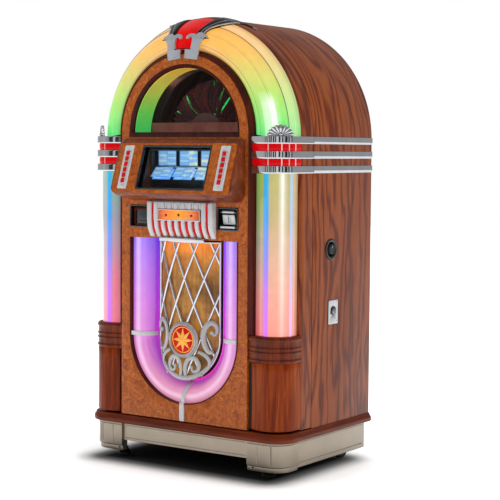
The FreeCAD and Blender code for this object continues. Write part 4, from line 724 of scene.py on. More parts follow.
def arch_glow(s):
    """Arch light: mint at the feet, yellow-green above, amber at the crown; moulded lines; a painted
    highlight low on the right.
    """
    xyz = s.split(s.place())
    share = s.span(xyz[2], (ARCH_Z - 10) * MM, (ARCH_Z + HALF * 0.93) * MM)
    colour = s.ramp(share, GREEN_TOP)
    radius = arch_radius(s, xyz[0], xyz[2])
    inside = s.times(s.span(radius, 285, 312, 0.55, 0.0), s.span(share, 0.45, 0.8))
    colour = s.mix(inside, colour, rgb("e0a468"))
    ribs = s.math("SINE", s.times(radius, 2.1))
    pale = s.times(s.span(ribs, -1.0, 1.0, 0.12, 0.42), s.span(radius, 375.5, 377.0))
    colour = s.mix(pale, colour, rgb("f4ecc8"))
    # painted highlight: a pale window-like reflection on the pillow, low on the right leg only
    core = s.ramp(s.span(radius, 312, 366), [(0.0, 0.0), (0.16, 0.5), (0.45, 0.55), (0.56, 1.0), (0.7, 1.0),
                                             (0.8, 0.15), (1.0, 0.0)], "EASE")
    low = s.span(xyz[2], (ARCH_Z + 112) * MM, (ARCH_Z + 152) * MM, 0.95, 0.0)
    right = s.span(xyz[0], 0.08, 0.16)
    colour = s.mix(s.times(core, s.times(low, right)), colour, rgb("f4fff2"))
    for spot, width, depth in ARCH_LINES:
        away = s.math("ABSOLUTE", s.minus(radius, spot))
        colour = s.mix(s.span(away, 0.0, width, depth, 0.0), colour, rgb("5a3a18"))
    return colour


def liner_glow(s):
    """Light inside the window: green at the sill, amber under the crown."""
    share = s.span(s.split(s.place())[2], WINDOW_Z * MM, (WINDOW_Z + 215) * MM)
    return s.ramp(share, [(0.0, "28c860"), (0.35, "6ccc50"), (0.7, "c8c048"), (1.0, "e8b040")])


BURL = burl_skin()
OAK = oak_skin()
DARK_WOOD = gloss_wood("dark_wood", "5a1e10", "40120a", "240a05", coat=0.05, mirror=0.12)
CHROME = metal("chrome", "c6c7cb", 0.06, depth=0.015, spread=0.04)
SATIN = metal("satin_chrome", "b4b6b9", 0.2, depth=0.04)
STEEL = metal("steel", "968c7e", 0.33, (5.0, 5.0, 420.0), 0.12, 0.16)
MILD = metal("mild_steel", "8c8f92", 0.38, (60.0, 60.0, 60.0), 0.1)
GOLD = metal("gold_metal", "e2a63a", 0.2, depth=0.05)
BLACK = plastic("black_plastic", "0b0b0c", 0.34)
SOFT_BLACK = plastic("soft_black", "131313", 0.55, 400.0, 0.3)
RUBBER = plastic("black_rubber", "161514", 0.72, 260.0, 0.4)
GREY = plastic("grey_plastic", "8d9093", 0.45)
BOARD = board("carcass_board", "241a15")
GLASS = glass_sheet("clear_glass")
CLOTH = woven_gold()
DISC = mirror_disc()
ARCH = lamp_plastic("arch_plastic", arch_glow, 0.5)


# ---------------------------------------------------------------- cabinet

def carve(piece, form):
    """Cuts a closed form out of a finished piece."""
    mesh = bpy.data.meshes.new("cutter")
    mesh.from_pydata([p * MM for p in form.points], [], form.faces)
    welded(mesh, thin=False)
    cutter = placed("cutter", mesh)
    cut = piece.modifiers.new("cut", "BOOLEAN")
    cut.object = cutter
    cut.operation = "DIFFERENCE"
    cut.solver = "EXACT"
    result = finished_mesh(piece)
    piece.modifiers.remove(cut)
    piece.data = result
    bpy.data.objects.remove(cutter)


CUP_HOLE = 24.5                        # radius of the hole for the volume knob's cup


def cabinet_shell():
    """Bent oak skin of the cabinet: two sides and the arched top in one run of veneer."""
    y0, y1 = SEAM, BACK
    profile = [(HALF - SHELL_WALL, y0 + 1), (HALF - SHELL_WALL, y1 - 1), (HALF - SHELL_WALL + 1, y1),
               (HALF - 2.5, y1), (HALF - 0.7, y1 - 0.7), (HALF, y1 - 2.5),
               (HALF, y0 + 2.5), (HALF - 0.7, y0 + 0.7), (HALF - 2.5, y0), (HALF - SHELL_WALL + 1, y0)]
    piece = swept(arch_rows(profile, SHELL_LOW.z), "cabinet_skin", "cabinet", OAK,
                  ["cabinet_shell"])
    cup_low, cup_high = span("volume_cup")
    cup = ((cup_low.y + cup_high.y) / 2, (cup_low.z + cup_high.z) / 2)
    for middle, radius in ((cup, CUP_HOLE), (LOCK, PLUG_HOLE)):
        hole = Form()
        hole.lathe([(0.01, -30), (radius, -30), (radius, 30), (0.01, 30)], right_side(HALF), 48,
                   closed=False)
        hole.points = [Vector((p.x, p.y + middle[0], p.z + middle[1])) for p in hole.points]
        carve(piece, hole)


def wrapped_rows(profile, half, face, corner, end, steps=14):
    """Rows for a profile of (inset, z) swept from the right rear, round the front, to the left rear."""
    right = [[(half - inset, end, z) for inset, z in profile]]
    for i in range(steps + 1):
        angle = math.radians(-90 * i / steps)
        row = []
        for inset, z in profile:
            radius = max(corner - inset, 0.5)
            row.append((half - corner + radius * math.cos(angle), face + corner + radius * math.sin(angle),
                        z))
        right.append(row)
    return right + [[(-x, y, z) for x, y, z in row] for row in reversed(right)]


def base_moulding():
    """Bullnosed moulding that carries the cabinet above the plinth."""
    low, high = span("base_moulding")
    tall = high.z - low.z
    nose = [(3, low.z), (0.6, low.z + 2.5), (0, low.z + 6), (0.2, low.z + tall * 0.45),
            (2.2, high.z - 10.5), (5.2, high.z - 7.0), (6.0, high.z - 5.5), (6.6, high.z - 2.0),
            (8.0, high.z - 0.5), (10, high.z)]
    profile = nose + [(40, high.z), (40, low.z)]
    swept(wrapped_rows(profile, high.x, low.y, 70, high.y), "base_moulding_wood", "cabinet", MOULDING,
          ["base_moulding"])


PLINTH_HALF = 395.0
PLINTH_FACE = -228.0                   # front of the corner castings
PLINTH_END = -126.5                    # back end of the corner castings
PLINTH_LIP = 46.0                      # height of the castings' turned edge
RAIL_FOOT = 34.0                       # lower edge of the side and back rails


def plinth():
    """Sheet-steel plinth: two front corner castings, recessed front rail, side and back rails."""
    low, high = span("plinth")
    top = high.z
    foot = low.z
    castings = Form()
    outer = [(6, foot), (5.2, foot + 1.2), (5.2, PLINTH_LIP - 3), (3.5, PLINTH_LIP - 1), (0.8, PLINTH_LIP),
             (0, PLINTH_LIP + 1.5), (0, top - 9), (1.2, top - 7.5), (1.2, top - 6), (0, top - 4.5),
             (0, top)]
    profile = outer + [(30, top), (30, foot)]
    rows = wrapped_rows(profile, PLINTH_HALF, PLINTH_FACE, 65, PLINTH_END)
    half = len(rows) // 2
    right = rows[:half]
    last = right[-1]
    right.append([(260, y, z) for _, y, z in last])
    castings.grid(right, ring=True, caps=True)
    for x in (300, 352):
        castings.block((x - 1.5, PLINTH_FACE - 1.2, PLINTH_LIP + 6), (x + 1.5, PLINTH_FACE + 1, top - 12),
                       0.6)
    for x, y in ((278, PLINTH_FACE - 0.2), (383, -150)):
        castings.ball((x, y, foot + 9), 4, flat=(1, 0.4, 1) if x < 300 else (0.4, 1, 1))
    castings.mirrored()
    castings.make("plinth_castings", "cabinet", STEEL, ["plinth"])
    rails = Form()
    rail = rounded(rectangle(-261, 261, 65, top), 2, 2)
    rails.plate([rail], 18, front(-204), 1.2)
    rails.block((-250, -223.6, 72), (250, -221, 75), 0.8)
    rails.block((-250, -223.6, top - 10), (250, -221, top - 7), 0.8)
    for sign in (-1, 1):
        x0, x1 = sorted((sign * 371.5, sign * 389.5))
        rails.block((x0, PLINTH_END, RAIL_FOOT), (x1, high.y - 1, top), 1.6)
        x2, x3 = sorted((sign * 389, sign * 391))
        for z in (46, 112):
            rails.block((x2, PLINTH_END + 14, z), (x3, high.y - 14, z + 4), 0.8)
    rails.block((-371, high.y - 19, RAIL_FOOT), (371, high.y - 1, top), 1.6)
    rails.make("plinth_rails", "cabinet", STEEL)


VENTS = ((120, 300, 6), (90, 1180, 4))   # rows of slots: half width, first height, count
VENT_PITCH = 24
VENT_TALL = 8
BACK_THICK = 13.0
SCREW_RING = 366.0                     # the back's screws run at this distance from the middle


def back_panel():
    """Pressed-board back with louvred vents, screwed all round, and the power inlet."""
    face = span("back_panel")[1].y - 0.6
    inner = HALF - SHELL_WALL - 0.1
    outline = [(-inner, SHELL_LOW.z + 1)] + [(inner, SHELL_LOW.z + 1)]
    outline += arc((0, ARCH_Z), inner, 0, 180, 64)
    slots = []
    for half, first, count in VENTS:
        for z in range(first, first + count * VENT_PITCH, VENT_PITCH):
            slots.append(rounded(rectangle(-half, half, z, z + VENT_TALL), 3.5, 4))
    inlet = rounded(rectangle(-208, -146, 194, 242), 3, 3)
    panel = Form()
    flip = [[(-a, b) for a, b in loop] for loop in [outline] + slots + [[(-a, b) for a, b in inlet]]]
    panel.plate(flip, BACK_THICK, lambda a, b, c: (-a, face - BACK_THICK + c, b), 0.8)
    screws = Form()
    spots = [(side * SCREW_RING, z) for side in (-1, 1) for z in range(190, 1110, 130)]
    spots += [(x, 170) for x in (-240, -80, 80, 240)] + arc((0, ARCH_Z), SCREW_RING, 20, 160, 7)
    for x, z in spots:
        screw_head(screws, lambda a, b, c, x=x, z=z: (x - a, face + c * 0.4, z + b), 4.2)
    panel.make("back_panel_board", "cabinet", BOARD_BACK, ["back_panel"])
    screws.make("back_panel_screws", "cabinet", MILD)
    box = Form()
    shell = rounded(rectangle(146.5, 207.5, 194.5, 241.5), 3, 3)
    socket = rounded(rectangle(158, 186, 206, 230), 6, 4)
    box.plate([shell, socket], 15, rearward_plain(294), 1.0)
    box.plate([rounded(rectangle(150, 204, 198, 238), 3, 3)], 2, rearward_plain(292.5), 0.5)
    for x in (-7, 0, 7):
        box.block((172 + x - 1, 293.5, 214), (172 + x + 1, 303, 222), 0.3)
    box.block((191, 294, 208), (202, 308.6, 228), 1.0)
    box.make("power_inlet", "cabinet", BLACK)


def rearward_plain(y):
    return lambda a, b, c: (a, y + c, b)


def screw_head(form, place, radius):
    """A domed cross-slotted screw head about the placement's origin."""
    dome = [(0.02, 1.5), (radius * 0.45, 1.42), (radius * 0.8, 1.05), (radius, 0.3), (radius, -0.6),
            (0.02, -0.6)]
    form.lathe(dome, place, 16, closed=False)
    for turn in (0.6, 0.6 + math.pi / 2):
        c, s = math.cos(turn), math.sin(turn)
        bar = [(radius * 0.62, 0.09 * radius), (-radius * 0.62, 0.09 * radius),
               (-radius * 0.62, -0.09 * radius), (radius * 0.62, -0.09 * radius)]
        points = [place(x * c - y * s, x * s + y * c, h) for h in (1.25, 1.62) for x, y in bar]
        form.add(points, BOX_FACES)


# ---------------------------------------------------------------- door: columns, arch and bands

STRIPS = ((0.275, 0.072),
          (0.780, 0.046))   # centre and half width of the light strips, shares of the section


def column_lenses():
    """Corner lenses: one wrapped pillow with two raised strips where the lamp rods sit."""
    path = [Vector(p) for p in corner_path(0, LENS_EDGE, DOOR_BACK)]
    lengths = [0.0]
    for a, b in zip(path, path[1:]):
        lengths.append(lengths[-1] + (b - a).length)
    total = lengths[-1]

    def at(distance):
        i = 1
        while i < len(path) - 1 and distance > lengths[i]:
            i += 1
        share = (distance - lengths[i - 1]) / (lengths[i] - lengths[i - 1])
        line = (path[i] - path[max(i - 2, 0)]).normalized() * (1 - share)
        line += (path[min(i + 1, len(path) - 1)] - path[i - 1]).normalized() * share
        line.normalize()
        return path[i - 1].lerp(path[i], share), Vector((line.y, -line.x))

    steps = 120
    outer = []
    inner = []
    for k in range(steps + 1):
        share = k / steps
        spot, out = at(total * share)
        rib = max(max(0.0, 1 - ((share - centre) / half) ** 2) for centre, half in STRIPS)
        end = max(0.0, 1 - min(share, 1 - share) / 0.03)
        outer.append(spot + out * (-2.0 + 1.8 * math.sqrt(rib) - 2.4 * end * end))
        inner.append(spot - out * 6.0)
    ring = outer + list(reversed(inner))
    for side, label in ((-1, "left"), (1, "right")):
        lens = Form()
        rows = []
        for k in range(13):
            z = LENS_LOW.z + (LENS_HIGH.z - LENS_LOW.z) * k / 12
            rows.append([(side * p.x, p.y, z) for p in ring])
        lens.grid(rows, ring=True, caps=True, unit=True)
        # both long walls of the ring run the whole UV width, so the strips lie at the same shares
        count = len(ring)
        shares = [i / steps if i <= steps else (count - 1 - i) / steps for i in range(count)] + [0.0]
        corners = []
        for i in range(12):
            for j in range(count):
                u0, u1 = shares[j], shares[(j + 1) % count]
                corners.append([(u0, i / 12), (u1, i / 12), (u1, (i + 1) / 12), (u0, (i + 1) / 12)])
        corners += [[(u, v) for u in shares[:count]] for v in (0.0, 1.0)]
        lens.corners = corners
        piece = lens.make(f"column_lens_{label}", "door", COLUMN[label], sharp=50)
        if side == 1:
            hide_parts("column_lenses")


def column_bases():
    """Glossy wooden drums under the lenses, each with a turned collar."""
    low, high = span("column_bases")
    z0, z1 = low.z, high.z
    split = 380.0
    body = [(11.5, z0), (13, z0 + 3), (12.2, z0 + 60), (12.2, split - 30), (12.8, split - 4), (11, split)]
    swept(column_rows(body + [(-6, split), (-6, z0)], LENS_EDGE, DOOR_BACK), "column_drums", "door",
          BASE_WOOD, ["column_bases"], both=True)
    bead = [(386, 15.8, 5.5), (412, 15.6, 4), (426, 15.6, 4), (455, 15.8, 6.5)]
    outline = [(13.2, 380.5), (14.0, 381)]
    for z, proud, size in bead:
        outline.append((12.6, z - size - 1.4))
        for k in range(7):
            angle = math.pi * (k / 6 - 0.5)
            outline.append((12.8 + (proud - 12.8) * math.cos(angle), z + size * math.sin(angle)))
        outline.append((12.6, z + size + 1.4))
    outline.append((8, z1))
    swept(column_rows(outline + [(-6, z1), (-6, split)], 260, DOOR_BACK), "column_collars", "door",
          COLLAR_WOOD, both=True)


def door_frame():
    """The door's frame: dark cove inside the lit arch, oak rim, board, uprights and strike plate."""
    foot = span("door_frame")[0].z
    inner = PANEL_HALF
    outer = PANEL_HALF + REVEAL
    cove = [(inner + 0.4, FACE + 14), (inner + 0.4, FACE - 0.5), (inner + 2.2, FACE - 2.6),
            (inner + 4.5, FACE - 1.2), (inner + 6.5, FACE + 3.5), (inner + 9.0, FACE + 9.0),
            (inner + 11.5, FACE + 10.5), (outer - 0.6, FACE + 10.2), (outer, FACE + 12), (outer, COVE_BACK),
            (inner + 0.4, COVE_BACK)]
    swept(arch_rows(cove, LENS_LOW.z), "reveal_cove", "door", DARK_WOOD, ["door_frame"])
    rim = [(HALF - SHELL_WALL, DOOR_BACK), (HALF - 8, DOOR_BACK), (HALF - 3.5, -126.8),
           (HALF - 0.8, -123.5), (HALF, -119), (HALF, -66.4), (HALF - 0.8, FRAME_BACK),
           (HALF - SHELL_WALL, FRAME_BACK)]
    swept(arch_rows(rim, foot), "door_rim", "door", OAK)
    reflector = Form()
    hole = circle((0, BOW_Z), 124, 48)
    window = arc((0, WINDOW_Z), 218, 0, 180, 40)
    outline = [(-BOARD_HALF, foot), (BOARD_HALF, foot)] + arc((0, ARCH_Z), BOARD_HALF, 0, 180, 64)
    tweeters = [circle((side * TWEETER[0], TWEETER[1]), 38, 32) for side in (-1, 1)]
    bolt_low, bolt_high = span("latch_bolt")
    keeper = rectangle(bolt_low.x - 2, bolt_high.x + 2, LOCK[1] - 10, LOCK[1] + 10)
    reflector.plate([outline, hole, window, keeper] + tweeters, 14, front(FRAME_BACK - 0.2), 1.0)
    reflector.make("reflector_board", "door", BOARD_IN_SHADE)
    side_leg = [(inner + 0.4, FACE + 14), (outer, FACE + 14), (outer, COVE_BACK), (inner + 0.4, COVE_BACK)]
    swept([[(x, y, z) for x, y in side_leg] for z in (foot + 4, LENS_LOW.z)], "door_uprights", "door",
          BOARD, both=True)
    strike = Form()
    z = LOCK[1]
    strike.plate([rounded(rectangle(z - 24, z + 24, COVE_BACK, COVE_BACK + 12), 2, 3),
                  rectangle(z - 9, z + 9, COVE_BACK + 2, COVE_BACK + 8)], 2,
                 lambda a, b, c: (BOARD_HALF + 0.1 - c, b, a), 0.4)
    strike.make("strike_plate", "door", MILD)


ARCH_RIDGES = ((300.0, 2.2), (345.0, 2.4), (374.0, 3.0))


def arch_lens():
    """The lit arch: a broad pillow with two moulded grooves and a ribbed outer edge."""
    section = spline([(275.5, -207), (284, -216), (300, -218.5), (320, -215), (342, -205), (362, -184),
                      (382, -156), (395, -130)], 8)
    moulded = []
    for r, y in section:
        cut = sum(depth * math.exp(-((r - spot) / 1.9) ** 2) for spot, depth in ARCH_RIDGES)
        if r > 376:
            cut += 0.5 + 0.5 * math.cos((r - 376) * 2.1)
        slope = Vector((0.35 + (r - 275) / 170, -1)).normalized()
        moulded.append((r - slope.x * cut, y - slope.y * cut))
    inner = [(r - 2.0 if r > 300 else r, y + 4.0) for r, y in reversed(moulded)]
    rows = []
    steps = 110
    for i in range(steps + 1):
        angle = math.pi * i / steps
        rows.append([arch_point(r, angle, y) for r, y in moulded + inner])
    lens = Form()
    lens.grid(rows, ring=True, caps=True, unit=True)
    lens.corners = [[(min(u * 2, 1.0), v) for u, v in face] for face in lens.corners]
    lens.make("arch_light", "door", ARCH, ["arch_lens"], sharp=60)
    back = []
    for i in range(steps + 1):
        angle = math.pi * i / steps
        back.append([arch_point(r, angle, y) for r, y in [(374.2, -166.8), (375.2, -167.8), (376.6, -166.6),
                                                          (376, -164.5)]])
    swept(back, "arch_beading", "door", SATIN)


FLUTES = 9                             # flutes of the shell ornament above each column
SHELL_RADIUS = 40.0
SHELL_TURN = 42                        # degrees between the front and the shell's middle


def bands():
    """Three chrome bands round each column and along the cabinet."""
    chrome = Form()
    for z0, z1 in BAND_LEVELS:
        face = [(13.9, z0), (14.9, z0 + 0.5), (15.4, z0 + 1.8), (15.5, z0 + 4), (15.5, z1 - 4),
                (15.4, z1 - 1.8), (14.9, z1 - 0.5), (13.9, z1)]
        chrome.grid(column_rows(face + [(-4, z1), (-4, z0)], 263, SEAM - 1.5), ring=True, caps=True)
    chrome.mirrored()
    chrome.make("column_bands", "door", CHROME, ["door_bands"])
    sides = Form()
    for z0, z1 in BAND_LEVELS:
        outline = [(0, z0), (1.9, z0 + 0.5), (2.4, z0 + 2.2), (2.4, z1 - 2.2), (1.9, z1 - 0.5), (0, z1)]
        rows = [[(HALF + out, y, z) for out, z in outline] for y in (SEAM, SEAM + 2, BACK - 2, BACK)]
        sides.grid(rows, ring=True, caps=True)
    sides.mirrored()
    sides.make("side_bands", "cabinet", CHROME, ["cabinet_bands"])


def band_lenses():
    """Red lenses between the bands, on black packing."""
    red = Form()
    for (_, z0), (z1, _) in zip(BAND_LEVELS, BAND_LEVELS[1:]):
        middle = (z0 + z1) / 2
        face = [(8, z0 + 0.3), (9.0, z0 + 2), (9.4, middle), (9.0, z1 - 2), (8, z1 - 0.3)]
        red.grid(column_rows(face + [(-2, z1 - 0.3), (-2, z0 + 0.3)], RED_EDGE, DOOR_BACK), ring=True,
                 caps=True)
    red.mirrored()
    red.make("band_lenses", "door", BAND_RED, ["red_lenses"])
    packing = Form()
    for (_, z0), (z1, _) in zip(BAND_LEVELS, BAND_LEVELS[1:]):
        face = [(4, z0), (4, z1), (-6, z1), (-6, z0)]
        packing.grid(column_rows(face, 262, DOOR_BACK), ring=True, caps=True)
    packing.mirrored()
    packing.make("band_backing", "door", BLACK)


def shell_ornaments():
    """Fluted chrome shell above the bands of each column."""
    shells = Form()
    turn = math.radians(SHELL_TURN)
    centre = Vector((CORNER_X + 60 * math.cos(turn - math.pi / 2),
                     CORNER_Y + 60 * math.sin(turn - math.pi / 2)))
    along = Vector((math.cos(turn), math.sin(turn)))
    out = Vector((math.sin(turn), -math.cos(turn)))
    rows = []
    for i in range(FLUTES * 8 + 1):
        angle = math.pi * i / (FLUTES * 8)
        ridge = abs(math.sin(FLUTES * angle))
        row = []
        for share, proud in ((0.16, 2.0), (0.24, 5.0), (0.45, 6.4), (0.7, 7.4), (0.88, 7.6), (0.97, 6.2),
                             (1.0, 2.0)):
            reach = share * (SHELL_RADIUS + 3.5 * ridge * (share > 0.8))
            depth = proud - (1 - ridge) * 3.4 * min(1, share * 1.2)
            spot = centre + along * reach * math.cos(angle) + out * (depth - 1)
            row.append((spot.x, spot.y, BAND_LEVELS[-1][1] + reach * 0.86 * math.sin(angle)))
        for share in (1.0, 0.16):
            reach = share * SHELL_RADIUS
            spot = centre + along * reach * math.cos(angle) - out * 1.0
            row.append((spot.x, spot.y, BAND_LEVELS[-1][1] + reach * 0.86 * math.sin(angle)))
        rows.append(row)
    shells.grid(rows, ring=True, caps=True)
    middle = centre + out * 5
    shells.ball((middle.x, middle.y, BAND_LEVELS[-1][1] + 5.5), 7.5)
    shells.mirrored()
    shells.make("shell_ornaments", "door", CHROME, sharp=30)


# ---------------------------------------------------------------- door: face panel and window

def front_panel():
    """Burl face of the door, with the window, the light tube and the coin recesses cut through it."""
    low, high = PANEL_LOW, PANEL_HIGH
    outline = [(-high.x, low.z), (high.x, low.z)] + arc((0, RING_Z), high.x, 0, 180, 72)
    window = arc((0, WINDOW_Z), WINDOW - 0.5, 0, 180, 64)
    tube_top = TUBE_HIGH.z
    tube = [(TUBE_OPENING, tube_top), (-TUBE_OPENING, tube_top)] + arc((0, BOW_Z), TUBE_OPENING, 180, 360,
                                                                       56)
    recess = [rectangle(*sorted(side * x for x in RECESS), 798.5, 870) for side in (-1, 1)]
    screen = rectangle(-141, 141, 925, 1070)
    selector = rectangle(-125, 125, 790, 860)
    panel = Form()
    panel.plate([outline, window, tube, screen, selector] + recess, high.y - low.y, front(high.y), 1.1)
    panel.make("face_panel", "door", BURL, ["front_panel"])


def ring_rows(profile, centre_z, start, end, steps):
    rows = []
    for i in range(steps + 1):
        angle = math.radians(start + (end - start) * i / steps)
        rows.append([(r * math.cos(angle), y, centre_z + r * math.sin(angle)) for r, y in profile])
    return rows


def window_parts():
    """Dark stepped bezel, lit liner, shelf and curved panes of the disc window."""
    section = [(WINDOW, FACE + 14), (WINDOW, FACE - 0.6), (WINDOW - 1, FACE - 1.9),
               (WINDOW - 3, FACE - 1.8), (WINDOW - 4, FACE - 0.4), (WINDOW - 6, FACE + 1.2),
               (WINDOW - 7.5, FACE + 4), (WINDOW - 10, FACE + 6.4), (WINDOW - 11.4, FACE + 9),
               (WINDOW - 12, FACE + 14)]
    swept(ring_rows(section, WINDOW_Z, 0, 180, 96), "window_bezel", "door", BEZEL,
          ["window_trim"])
    nose = [(FACE, 1097), (FACE - 2.4, 1097.6), (FACE - 3, 1100), (FACE - 2.2, 1106), (FACE - 2.8, 1110),
            (FACE - 1.5, 1113.8), (FACE + 12, 1114), (FACE + 12, 1097)]
    swept([[(x, y, z) for y, z in nose] for x in (-WINDOW, WINDOW)], "window_sill", "door", BEZEL)
    liner = Form()
    inside = LINER_RADIUS - 3.2
    wall = [(LINER_RADIUS, -209), (inside, -208.4), (inside - 0.8, -180), (inside, -129),
            (LINER_RADIUS, -128.5)]
    liner.grid(ring_rows(wall, WINDOW_Z, 0.5, 179.5, 96), ring=True, caps=True, unit=True)
    liner.make("window_light", "door", LINER, ["window_liner"])
    shelf = Form()
    shelf.block((-212, -207, 1103), (212, -129, 1109), 1.2)
    shelf.block((-200, -142, 1108), (210, -137, 1147), 1.6)
    shelf.make("window_shelf", "door", FASCIA)
    pane = Form()
    glass = [(-PANE_RADIUS, 1112), (PANE_RADIUS, 1112)] + arc((0, WINDOW_Z), PANE_RADIUS, 1, 179, 48)
    pane.plate([glass], 2.6, front(-211), 0.4)
    pane.plate([rounded(rectangle(-141, 141, -76, 76), 4, 4)], 2.2, console_face(-13.4), 0.4)
    pane.make("panes", "door", GLASS, ["glass_panes"])


# ---------------------------------------------------------------- door: console with the title pages

TILT = math.radians(18.487)            # slope of the console's face
CONSOLE_Y = -281.62                    # middle of the face: y and z
CONSOLE_Z = 998.0
SCREEN = (141.0, 76.0)                 # half width and half height of the screen's opening


def console_face(lift=0.0):
    """Plate placement on the console's sloping face; b runs up the slope and c stands proud of it."""
    def place(a, b, c):
        c = c + lift
        return (a, CONSOLE_Y + b * math.sin(TILT) - c * math.cos(TILT),
                CONSOLE_Z + b * math.cos(TILT) + c * math.sin(TILT))
    return place


def console():
    """The wedge-shaped console: a rounded hardwood hood with a burl face round the screen."""
    half = span("console_housing")[1].x
    profile = [(-229.2, 1090), (-243.5, 1090), (-255.5, 1076), (-309, 916), (-305, 906), (-229.2, 886)]
    side = rounded(profile, 5, 4)
    rows = []
    stations = [(half - 34, 0.0), (half - 20, 0.4), (half - 9, 1.6), (half - 3.5, 4.0), (half - 0.8, 7.5),
                (half, 12)]
    bottom = min(z for _, z in side)
    spans = [-x for x, _ in reversed(stations)] + [x for x, _ in stations]
    insets = [i for _, i in reversed(stations)] + [i for _, i in stations]
    for x, inset in zip(spans, insets):
        row = []
        for y, z in side:
            t = (y + 229.2) / (-309 + 229.2)
            lower = max(0.0, 1 - (z - bottom) / 60.0)
            lift = max(0.0, (abs(x) - (half - 34)) / 34.0)
            lift = 34 * (1 - math.sqrt(max(0.0, 1 - lift * lift))) * lower * 0.9
            row.append((x, y + inset * 0.75 * t, z + lift - inset * 0.35 * (1 - lower)))
        rows.append(row)
    piece = swept(rows, "console_hood", "door", CONSOLE_WOOD, ["console_housing"])
    mouth = Form()
    a, b = SCREEN
    mouth.plate([rectangle(-a, a, -b, b)], 115, console_face(-95), 0)
    carve(piece, mouth)
    face = Form()
    outer = rounded([(-half + 9, -88), (half - 9, -88), (half - 9, 84), (-half + 9, 84)], 10, 4)
    holes = [rounded(rectangle(-a - 0.5, a + 0.5, -b - 0.5, b + 0.5), 3, 3)]
    face.plate([outer] + holes, 1.6, console_face(-0.2), 0.5)
    face.make("console_veneer", "door", BURL)
    frame_form = Form()
    outer = rounded(rectangle(-a - 0.2, a + 0.2, -b - 0.2, b + 0.2), 2, 3)
    inner = rounded(rectangle(-a + 5.5, a - 5.5, -b + 5.5, b - 5.5), 5, 4)
    frame_form.plate([outer, inner], 12, console_face(-10.2), 1.6)
    inner2 = rounded(rectangle(-a + 15, a - 15, -b + 12, b - 12), 6, 4)
    frame_form.plate([outer, inner2], 3, console_face(-19), 0.8)
    frame_form.make("screen_surround", "door", BLACK_GLOSS, ["title_rack"])


CARDS = (-88.5, 0.0, 88.5)             # middles of the three title pages
CARD_HALF = 37.5
LEAN = math.radians(43)                # slope of the lower row and of the leaf
LEAF_HINGE = Vector((-205, 1000))      # the leaf's rod: y, z


def page_card(form, place, half, low, high, rows, skins):
    """One framed title page: a pale card with ruled title strips, no lettering."""
    form.plate([rounded(rectangle(-half, half, low, high), 1.5, 3)], 2, place, 0.5, skin=skins[0])
    step = (high - low - 6) / rows
    for k in range(rows):
        z0 = low + 3 + k * step
        for x0, x1 in ((-half + 3, -1.2), (1.2, half - 3)):
            form.plate([rounded(rectangle(x0, x1, z0 + 0.6, z0 + step - 0.8), 0.6, 2)], 0.7,
                       lambda a, b, c: place(a, b, c + 2.0), 0.2, skin=skins[1 + (k + (x0 < 0)) % 2])


def title_pages():
    """Backlit title pages: an upper row and a leaning lower row, in a black case."""
    rack = Form()
    pages = Form()
    lower_axis = Vector((-199, 996))
    for x0 in CARDS:
        page_card(pages, lambda a, b, c, x0=x0: (x0 + a, -197 - c * 0.5, b), CARD_HALF, 1003.5, 1054, 5,
                  (0, 1, 2))

        def lower(a, b, c, x0=x0):
            y = lower_axis.x - b * math.sin(LEAN) - c * 0.5 * math.cos(LEAN)
            z = lower_axis.y - b * math.cos(LEAN) + c * 0.5 * math.sin(LEAN)
            return (x0 + a, y, z)
        page_card(pages, lower, CARD_HALF, 4, 52, 5, (0, 2, 1))
        rim = [rounded(rectangle(-41, 41, 1000, 1058), 2, 3),
               rounded(rectangle(-CARD_HALF, CARD_HALF, 1003.5, 1054), 2, 3)]
        rack.plate(rim, 5, lambda a, b, c, x0=x0: (x0 + a, -195 - c, b), 0.8)
    pages.make("title_pages", "door", [PAGE_BLUE, STRIP_PALE, STRIP_BLUE])
    back = rounded(rectangle(-138, 138, 925, 1066), 2, 2)
    rack.plate([back], 3, front(-190), 0.6)
    for side in (-1, 1):
        x0, x1 = sorted((side * 134.5, side * 138))
        rack.block((x0, -226, 935), (x1, -190, 1060), 0.8)
    rack.make("title_rack_case", "door", BLACK)


def title_leaf():
    """The leaf of title pages that turns on its rod."""
    leaf = Form()
    for x0 in CARDS:
        def on_leaf(a, b, c, x0=x0):
            y = LEAF_HINGE.x - 4.2 * math.cos(LEAN) - b * math.sin(LEAN) - c * 0.45 * math.cos(LEAN)
            z = LEAF_HINGE.y + 4.2 * math.sin(LEAN) - b * math.cos(LEAN) + c * 0.45 * math.sin(LEAN)
            return (x0 + a, y - 0.2, z)
        page_card(leaf, on_leaf, 37, 6, 50, 4, (0, 1, 2))
    rod = Form()
    rod.rod([(-131, LEAF_HINGE.x, LEAF_HINGE.y), (131, LEAF_HINGE.x, LEAF_HINGE.y)], 2.4, 16)
    for x0 in (-130, -44.25, 44.25, 130):
        rod.rod([(x0 - 4, LEAF_HINGE.x, LEAF_HINGE.y), (x0 + 4, LEAF_HINGE.x, LEAF_HINGE.y)], 3.6, 16)
    rod.make("leaf_rod", "leaf", CHROME)
    leaf.make("leaf_pages", "leaf", [PAGE_BLUE, STRIP_BLUE, STRIP_PALE], ["title_leaf"])


KEY_X = 197.0
KEY_ROWS = (47.5, 28.5, 9.5, -9.5, -28.5, -47.5)
KEY_CAP = ((6.8, 7.0, -4.0), (6.8, 7.0, 3.0), (6.7, 6.9, 6.2), (6.2, 6.4, 7.6), (5.0, 5.2, 8.2),
           (3.0, 3.2, 8.05),
           (0.2, 0.2, 7.9))            # half width, half height and lift of each ring of a key


